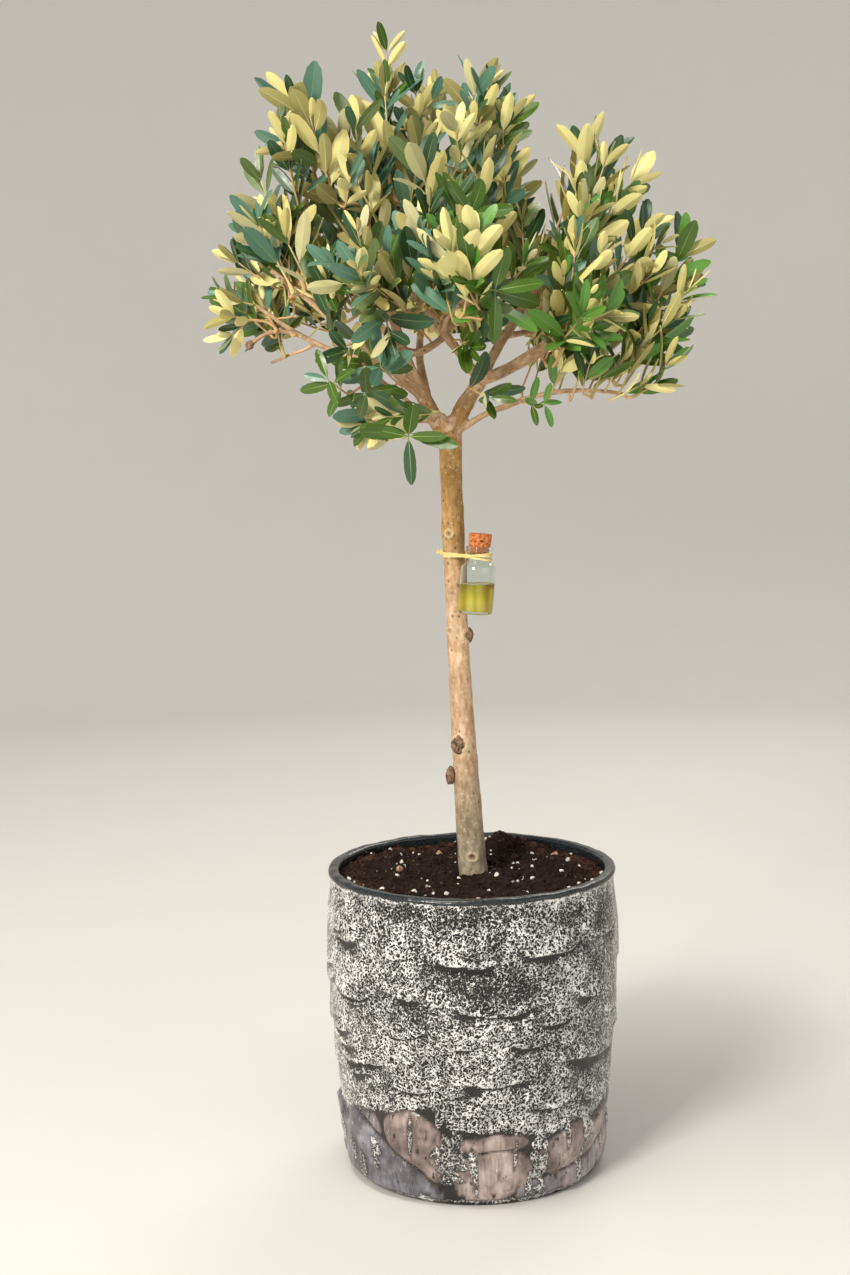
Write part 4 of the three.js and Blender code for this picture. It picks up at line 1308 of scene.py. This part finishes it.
def grow_twigs(lines, shoots, chance):
    """Joins each shoot to the wood by a curved twig, the nearest first, and counts what each bears."""
    places, ways, radii = bearing_wood(lines)
    owners = [(None, 0)] * len(places)
    waiting, twigs = list(shoots), []
    while waiting:
        feet = np.array([s["foot"] for s in waiting])
        gaps = np.linalg.norm(feet[:, None] - places[None], axis=2).min(1)
        shoot = waiting.pop(int(gaps.argmin()))
        to_foot = shoot["foot"] - places
        turn_back = 1 - np.sum(unit(to_foot) * shoot["direction"], 1)
        off_way = 1 - np.sum(unit(to_foot) * ways, 1)
        cost = np.linalg.norm(to_foot, axis=1) * (1 + 0.45 * turn_back + 0.3 * off_way)
        index = int(cost.argmin())
        line, leafy = twig_line(places[index], ways[index], shoot, chance)
        parent = owners[index]
        twigs.append({**shoot, "line": line, "leafy": leafy, "parent": parent,
                      "bears": np.ones(len(line)), "limit": radii[index] * 0.8})
        bare = leafy + int((len(line) - leafy) * 0.3)
        places = np.vstack([places, line[2:bare]])
        ways = np.vstack([ways, unit(np.gradient(line, axis=0))[2:bare]])
        radii = np.concatenate([radii, np.full(bare - 2, TWIG_WOOD * MM)])
        owners += [(len(twigs) - 1, i) for i in range(2, bare)]
        while parent[0] is not None:
            bearer, at = twigs[parent[0]], parent[1]
            bearer["bears"][:at + 1] += 1
            parent = bearer["parent"]
    return twigs


def make_twigs(twigs, chance):
    """All the thin wood as tubes, in three tones dealt out by twig."""
    finishes = [plain_growth(name, colour, 0.6, 0.9, 0.15, 0.35) for name, colour in TWIG_TONES]
    parts, slots = [], []
    for twig in twigs:
        run = np.linspace(0, 1, len(twig["line"]))
        radius = np.minimum(TWIG_TIP * MM * twig["bears"] ** TWIG_GROWTH, twig["limit"])
        parts.append(tube(twig["line"], radius * (1.15 - 0.6 * run ** 1.5), TWIG_SIDES))
        slots += [chance.choice((0, 0, 1, 2))] * len(parts[-1][1])
    settle(mesh_object("twigs", *joined(parts), finishes, slots))


def leaf_wish(twig, place):
    """The way that the upper sides of a twig's leaves turn at a place."""
    if twig["facing"]:
        return np.array((0, twig["facing"], 0.2))
    lean = from_table(place[0], FRONT_LEAN)
    outward = (place - metres(CROWN_CORE)) * (1, 1, 0.5) - (0, lean, 0)
    return unit(outward) * twig["turned"] + UP * 0.15


def tone_weights(place):
    """How often each green comes at a place in the crown."""
    start, end = (0.02, 0.07) if place[1] > -0.05 else (-0.03, 0.02)
    bright = smooth_step(start, end, place[0]) * smooth_step(0.84, 0.79, place[2])
    low = smooth_step(0.745, 0.69, place[2])
    plain = np.array(LEFT_WEIGHTS) * (1 - low) + np.array(LOW_WEIGHTS) * low
    return plain * (1 - bright) + np.array(RIGHT_WEIGHTS) * bright


def grow_leaf(twig, index, turn, growth, chance):
    """One leaf, as where it sits, which way it points and faces, its size, bend and tones; or None
    where it is missing."""
    place = twig["line"][index]
    ahead, first, second = (way[index] for way in twig["frames"])
    _, flipped, opening = SPRAYS[twig["facing"]]
    swing = turn + chance.gauss(0, 0.16)
    outward = first * math.cos(swing) + second * math.sin(swing)
    spread = math.radians(chance.uniform(*opening)) * (0.45 + 0.55 * growth)
    direction = unit(ahead * math.cos(spread) + outward * math.sin(spread) + UP * 0.10)
    wish = leaf_wish(twig, place) * (-1 if chance.random() < flipped else 1)
    face = (ahead * math.sin(spread) - outward * math.cos(spread)) * 0.4 + wish
    face = unit(face - direction * np.dot(face, direction))
    roll = chance.gauss(0, 0.30)
    face = face * math.cos(roll) + np.cross(direction, face) * math.sin(roll)
    length = twig["leaf"] * growth * chance.uniform(*LENGTH_FACTOR)
    if chance.random() < MISSING_LEAVES:
        return None
    wide = chance.uniform(*WIDTH_FACTOR)
    if wide < NEEDLE_DRAW and place[0] > 0 and place[2] > NEEDLE_HEIGHT and twig["facing"] != -1:
        wide *= NEEDLE_WIDTH
    bend, fold = chance.gauss(0.15, 0.22), chance.uniform(0.05, 0.30)
    upper, under = twig["tones"]
    if chance.random() >= SPRAY_UPPER:
        upper = chance.choices(range(len(UPPER_TONES)), twig["weights"])[0]
    if chance.random() >= SPRAY_UNDER:
        under = chance.randrange(len(UNDER_TONES))
    half = length * LEAF_SLIMNESS * wide / 2
    return twig["mass"], place, direction, face, length, half, bend, fold, upper, under


def grow_leaves(twigs, chance):
    """All the leaves: crosswise pairs down each twig from its tip, smaller near the tip."""
    leaves = []
    for twig in twigs:
        line, rosette = twig["line"], twig["facing"] == -1
        frames, run = carried_frames(line), run_along(line)
        bare = run[twig["leafy"] - 1]
        bare = max(bare - chance.uniform(*LEAFY_STALK) * bare, LEAF_FREE_FOOT * MM)
        weights = ROSETTE_WEIGHTS if rosette else tone_weights(line[-1])
        spray = (chance.choices(range(len(UPPER_TONES)), weights)[0],
                 chance.choices(range(len(UNDER_TONES)), UNDER_WEIGHTS)[0])
        twig.update(frames=frames, weights=weights, tones=spray)
        _, first, second = frames
        turn = math.atan2(second[-1][0], first[-1][0]) if rosette else chance.uniform(0, math.pi)
        at, pair = run[-1], 0
        while at > bare:
            index = min(int(np.searchsorted(run, at)), len(line) - 1)
            growth = min(1.0, SPRAYS[twig["facing"]][0] + pair * 0.2)
            leaves += [grow_leaf(twig, index, turn + half, growth, chance) for half in (0, math.pi)]
            turn += math.pi / 2 + chance.gauss(0, 0.1)
            closeness = ROSETTE_GAP if rosette and pair < 2 else 0.45 + 0.55 * min(1, pair / 2)
            at -= chance.uniform(*NODE_GAP) * MM * closeness
            pair += 1
    return [leaf for leaf in leaves if leaf]


def leaf_faces():
    """The faces of one leaf over its numbered points, with the kind of each: 0 blade, 1 midrib,
    2 underside, 3 underside's midrib. In each row the points 0 to 5 lie on top and 6 to 9 below."""
    count = len(LEAF_ROWS)
    faces, kinds = [], []
    for i in range(count - 1):
        top, next_top = i * LEAF_RING, (i + 1) * LEAF_RING
        for j in range(5):
            faces.append((top + j, top + j + 1, next_top + j + 1, next_top + j))
            kinds.append(1 if j == 2 else 0)
        ring = [0, 6, 7, 8, 9, 5]
        for j in range(5):
            faces.append((top + ring[j + 1], top + ring[j], next_top + ring[j], next_top + ring[j + 1]))
            kinds.append(3 if j == 2 else 2)
    end = (count - 1) * LEAF_RING
    faces.append((0, 6, 7, 8, 9, 5, 4, 3, 2, 1))
    faces.append(tuple(end + i for i in (1, 2, 3, 4, 5, 9, 8, 7, 6, 0)))
    kinds += [2, 2]
    return faces, kinds


def leaf_points(leaf):
    """The points of one leaf: a blade folded along its midrib and bent along its length."""
    _, base, direction, face, length, half, bend, fold, _, _ = leaf
    share = np.array(LEAF_ROWS)
    width = np.array(LEAF_WIDTHS) * half
    rib = np.minimum(MIDRIB_WIDTH * MM / 2 * (1.15 - share), width * 0.4)
    angle = bend * share ** 1.3
    step, between = np.diff(share), (angle[1:] + angle[:-1]) / 2
    forward = np.cumsum(np.concatenate([[0], step * np.cos(between)])) * length
    sink = np.cumsum(np.concatenate([[0], step * np.sin(between)])) * length
    across = np.cross(direction, face)
    spine = base + direction * forward[:, None] - face * sink[:, None]
    facing = face * np.cos(angle)[:, None] + direction * np.sin(angle)[:, None]
    middle, edge = width * 0.55, width * fold * 0.82
    offsets = [-width, -middle, -rib, rib, middle, width]
    lifts = [edge, middle * fold, rib * 0, rib * 0, middle * fold, edge]
    upper = [spine + across * o[:, None] + facing * l[:, None] for o, l in zip(offsets, lifts)]
    thick = LEAF_THICKNESS * MM * np.minimum(1, width / (0.3 * half))
    lower = [upper[k] - facing * (thick * (1.9 if k in (2, 3) else 1))[:, None] for k in (1, 2, 3, 4)]
    return np.stack(upper + lower, 1).reshape(-1, 3)


def crown_part(middle):
    """Which piece of the crown a mass of leaves belongs to."""
    x, y, _ = middle
    if y > 0.05:
        return "leaves_back_left" if x < -0.02 else "leaves_back_right"
    if x < -0.06:
        return "leaves_left"
    return "leaves_right" if x > 0.05 else "leaves_middle"


def make_leaves(leaves):
    """The crown's leaves as five joined pieces, in plain colours dealt out by spray."""
    uppers = [plain_growth("leaf_upper_%d" % i, c, 0.33, 2.2, 0.12) for i, c in enumerate(UPPER_TONES)]
    unders = [plain_growth("leaf_underside_%d" % i, c, 0.62, 1.2, 0.10, 0.35)
              for i, c in enumerate(UNDER_TONES)]
    ribs = [plain_growth("leaf_midrib", "#8A9E5E", 0.45, 2.0, 0.05),
            plain_growth("leaf_midrib_below", "#E6DFAE", 0.5, 2.0, 0.05)]
    rib = len(uppers) + len(unders)
    faces, kinds = leaf_faces()
    parts = {}
    for name, middle, _ in crown_masses():
        parts.setdefault(crown_part(middle), []).append(name)
    for part, members in parts.items():
        mine = [leaf for leaf in leaves if leaf[0] in members]
        all_faces, slots = [], []
        for i, leaf in enumerate(mine):
            start = i * len(LEAF_ROWS) * LEAF_RING
            all_faces += [tuple(start + p for p in face) for face in faces]
            by_kind = (leaf[-2], rib, len(uppers) + leaf[-1], rib + 1)
            slots += [by_kind[kind] for kind in kinds]
        points = np.vstack([leaf_points(leaf) for leaf in mine])
        piece = mesh_object(part, points, all_faces, uppers + unders + ribs, slots)
        piece.data.set_sharp_from_angle(angle=math.radians(LEAF_EDGE))
        settle(piece, members)


def bottle_place():
    """Where the bottle hangs: its foot's place and its lean."""
    return Matrix.Translation(Vector(metres(BOTTLE_FOOT))) @ Matrix.Rotation(BOTTLE_TILT, 4, "Y")


def make_bottle():
    """The small bottle, the oil in it and its cork."""
    place = bottle_place()
    section = list(rounded(BOTTLE_OUTSIDE)) + list(rounded(BOTTLE_INSIDE))
    settle(turned("bottle", section, 72, bottle_glass(), place), ["bottle_glass"])
    oil = turned("olive_oil", OIL_SECTION, 72, olive_oil())
    for vertex in oil.data.vertices:
        if vertex.co.z > (OIL_LEVEL - 1) * MM:
            vertex.co.z += vertex.co.x * math.tan(BOTTLE_TILT)
        vertex.co = place @ vertex.co
    settle(oil, ["bottle_oil"])
    mouth = BOTTLE_OUTSIDE[-1][1]
    cork = turned("cork", [(r, mouth + z) for r, z in CORK_SECTION], 64, pressed_cork(), place)
    points, normals = points_of(cork), points_of(cork, "normal")
    lift = waves(points, 0.0016, 3) * 0.22 - np.clip(waves(points, 0.0011, 4) - 0.25, 0, 1) * 1.1
    top = points[:, 2] > (TIE_HEIGHT + 9) * MM
    points[top] += normals[top] * (lift[top] * MM)[:, None]
    move_points(cork, points)
    settle(cork, ["bottle_cork"])


def belt_point(turn, stem, neck, stand):
    """A point of the loop that wraps two round things, in the direction of a turn from its middle."""
    way = np.array((math.cos(turn), math.sin(turn)))
    ends = [(np.dot(centre, way) + radius, centre + way * (radius + stand))
            for centre, radius in (stem, neck)]
    return max(ends, key=lambda end: end[0])[1]


def strand(line, width, thickness, twist, seed):
    """Points, faces and fibre places of one flat strand of raffia along a line."""
    line = np.array(line, float)
    ahead = unit(np.gradient(line, axis=0))
    side = unit(np.cross(ahead, np.cross(UP, ahead) + 1e-6))
    count = len(line)
    turns = np.linspace(0, twist, count) + waves(line, 0.01, seed) * 0.5
    sides = side * np.cos(turns)[:, None] + np.cross(ahead, side) * np.sin(turns)[:, None]
    flats = np.cross(ahead, sides)
    wide = width * MM / 2 * (1 + 0.25 * waves(line, 0.006, seed + 2))
    wide[0] *= 0.45
    wide[-1] *= 0.45
    thick = thickness * MM / 2
    corners = [line + sides * (wide * a)[:, None] + flats * thick * b for a, b in STRAND_CORNERS]
    places = [(a * width * MM / 2, r, b * thick + seed) for r in run_along(line) for a, b in STRAND_CORNERS]
    return np.stack(corners, 1).reshape(-1, 3), tube_faces(count, len(STRAND_CORNERS)), places


def tie_paths(lines):
    """The paths of the tie's strands: round the stem and the neck, the loose ends, and the knots."""
    line, radii = lines["trunk"]
    index = int(np.abs(line[:, 2] - TIE_HEIGHT * MM).argmin())
    stem = (line[index][:2], radii[index] + 0.2 * MM)
    neck_place = bottle_place() @ Vector((0, 0, NECK_HEIGHT * MM))
    neck = (np.array(neck_place[:2]), BOTTLE_OUTSIDE[7][0] * MM)
    middle = (stem[0][0] + neck[0][0]) / 2
    turns = np.linspace(-math.pi, math.pi, 90)
    wraps = []
    for stand, rise, _, drop, sway in TIE_STRANDS:
        path = []
        for turn in turns:
            x, y = belt_point(turn, stem, neck, stand * MM)
            z = TIE_HEIGHT + rise * (0.5 + 0.5 * math.cos(turn + sway)) - drop * (x - middle) / MM / 24
            path.append((x, y, z * MM))
        wraps.append(path)
    left = min((belt_point(turn, stem, neck, 1.2 * MM) for turn in turns), key=lambda point: point[0])
    knot = np.array((left[0], left[1] - 2 * MM, (TIE_HEIGHT + 1.8) * MM))
    crossing = np.array((*(stem[0] + metres((10.6, -12.4))), TIE_HEIGHT * MM))
    t = np.linspace(0, 1, 12)[:, None]
    ends = [knot + metres(first) * 2 * t * (1 - t) + metres(second) * t for first, second in TIE_ENDS]
    turn = np.linspace(0, 2 * math.pi * 1.1, 26)
    laps = []
    for centre, size in ((knot, 1.9), (crossing, 1.7)):
        for lap in range(3):
            x = 0.7 * lap - 0.7 + np.sin(turn) * (0.5 * lap - 0.5)
            lap_path = np.stack([x, np.cos(turn) * size, np.sin(turn) * (size + 1.2)], 1)
            laps.append(centre + lap_path * MM)
    return wraps, ends, laps


def make_tie(lines):
    """Strands of raffia round the stem and the bottle's neck, knotted at the left with short ends."""
    wraps, ends, laps = tie_paths(lines)
    strands = [strand(path, TIE_STRANDS[i][2], 0.55, 0.5 * (i - 2), i) for i, path in enumerate(wraps)]
    strands += [strand(path, 1.8, 0.6, 0.8, i + 9) for i, path in enumerate(ends)]
    strands += [strand(path, 1.3, 0.5, 0.4, i + 14) for i, path in enumerate(laps)]
    tie = mesh_object("raffia_tie", *joined([made[:2] for made in strands]), [raffia_fibre()])
    carry(tie, "strand_place", np.vstack([made[2] for made in strands]))
    settle(tie, ["bottle_tie"])


make_camera()
make_studio()
make_pot()
make_soil()
limbs = limb_lines()
make_wood(limbs)
make_stubs()
growth = random.Random(GROW_SEED)
all_twigs = grow_twigs(limbs, mass_shoots(limbs, growth), growth)
make_twigs(all_twigs, growth)
make_leaves(grow_leaves(all_twigs, growth))
make_bottle()
make_tie(limbs)

bpy.context.view_layer.update()
sizes = {"cad": cad_box, "visual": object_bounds()}
sizes = {name: [[float(c) for c in corner] for corner in box] for name, box in sizes.items()}
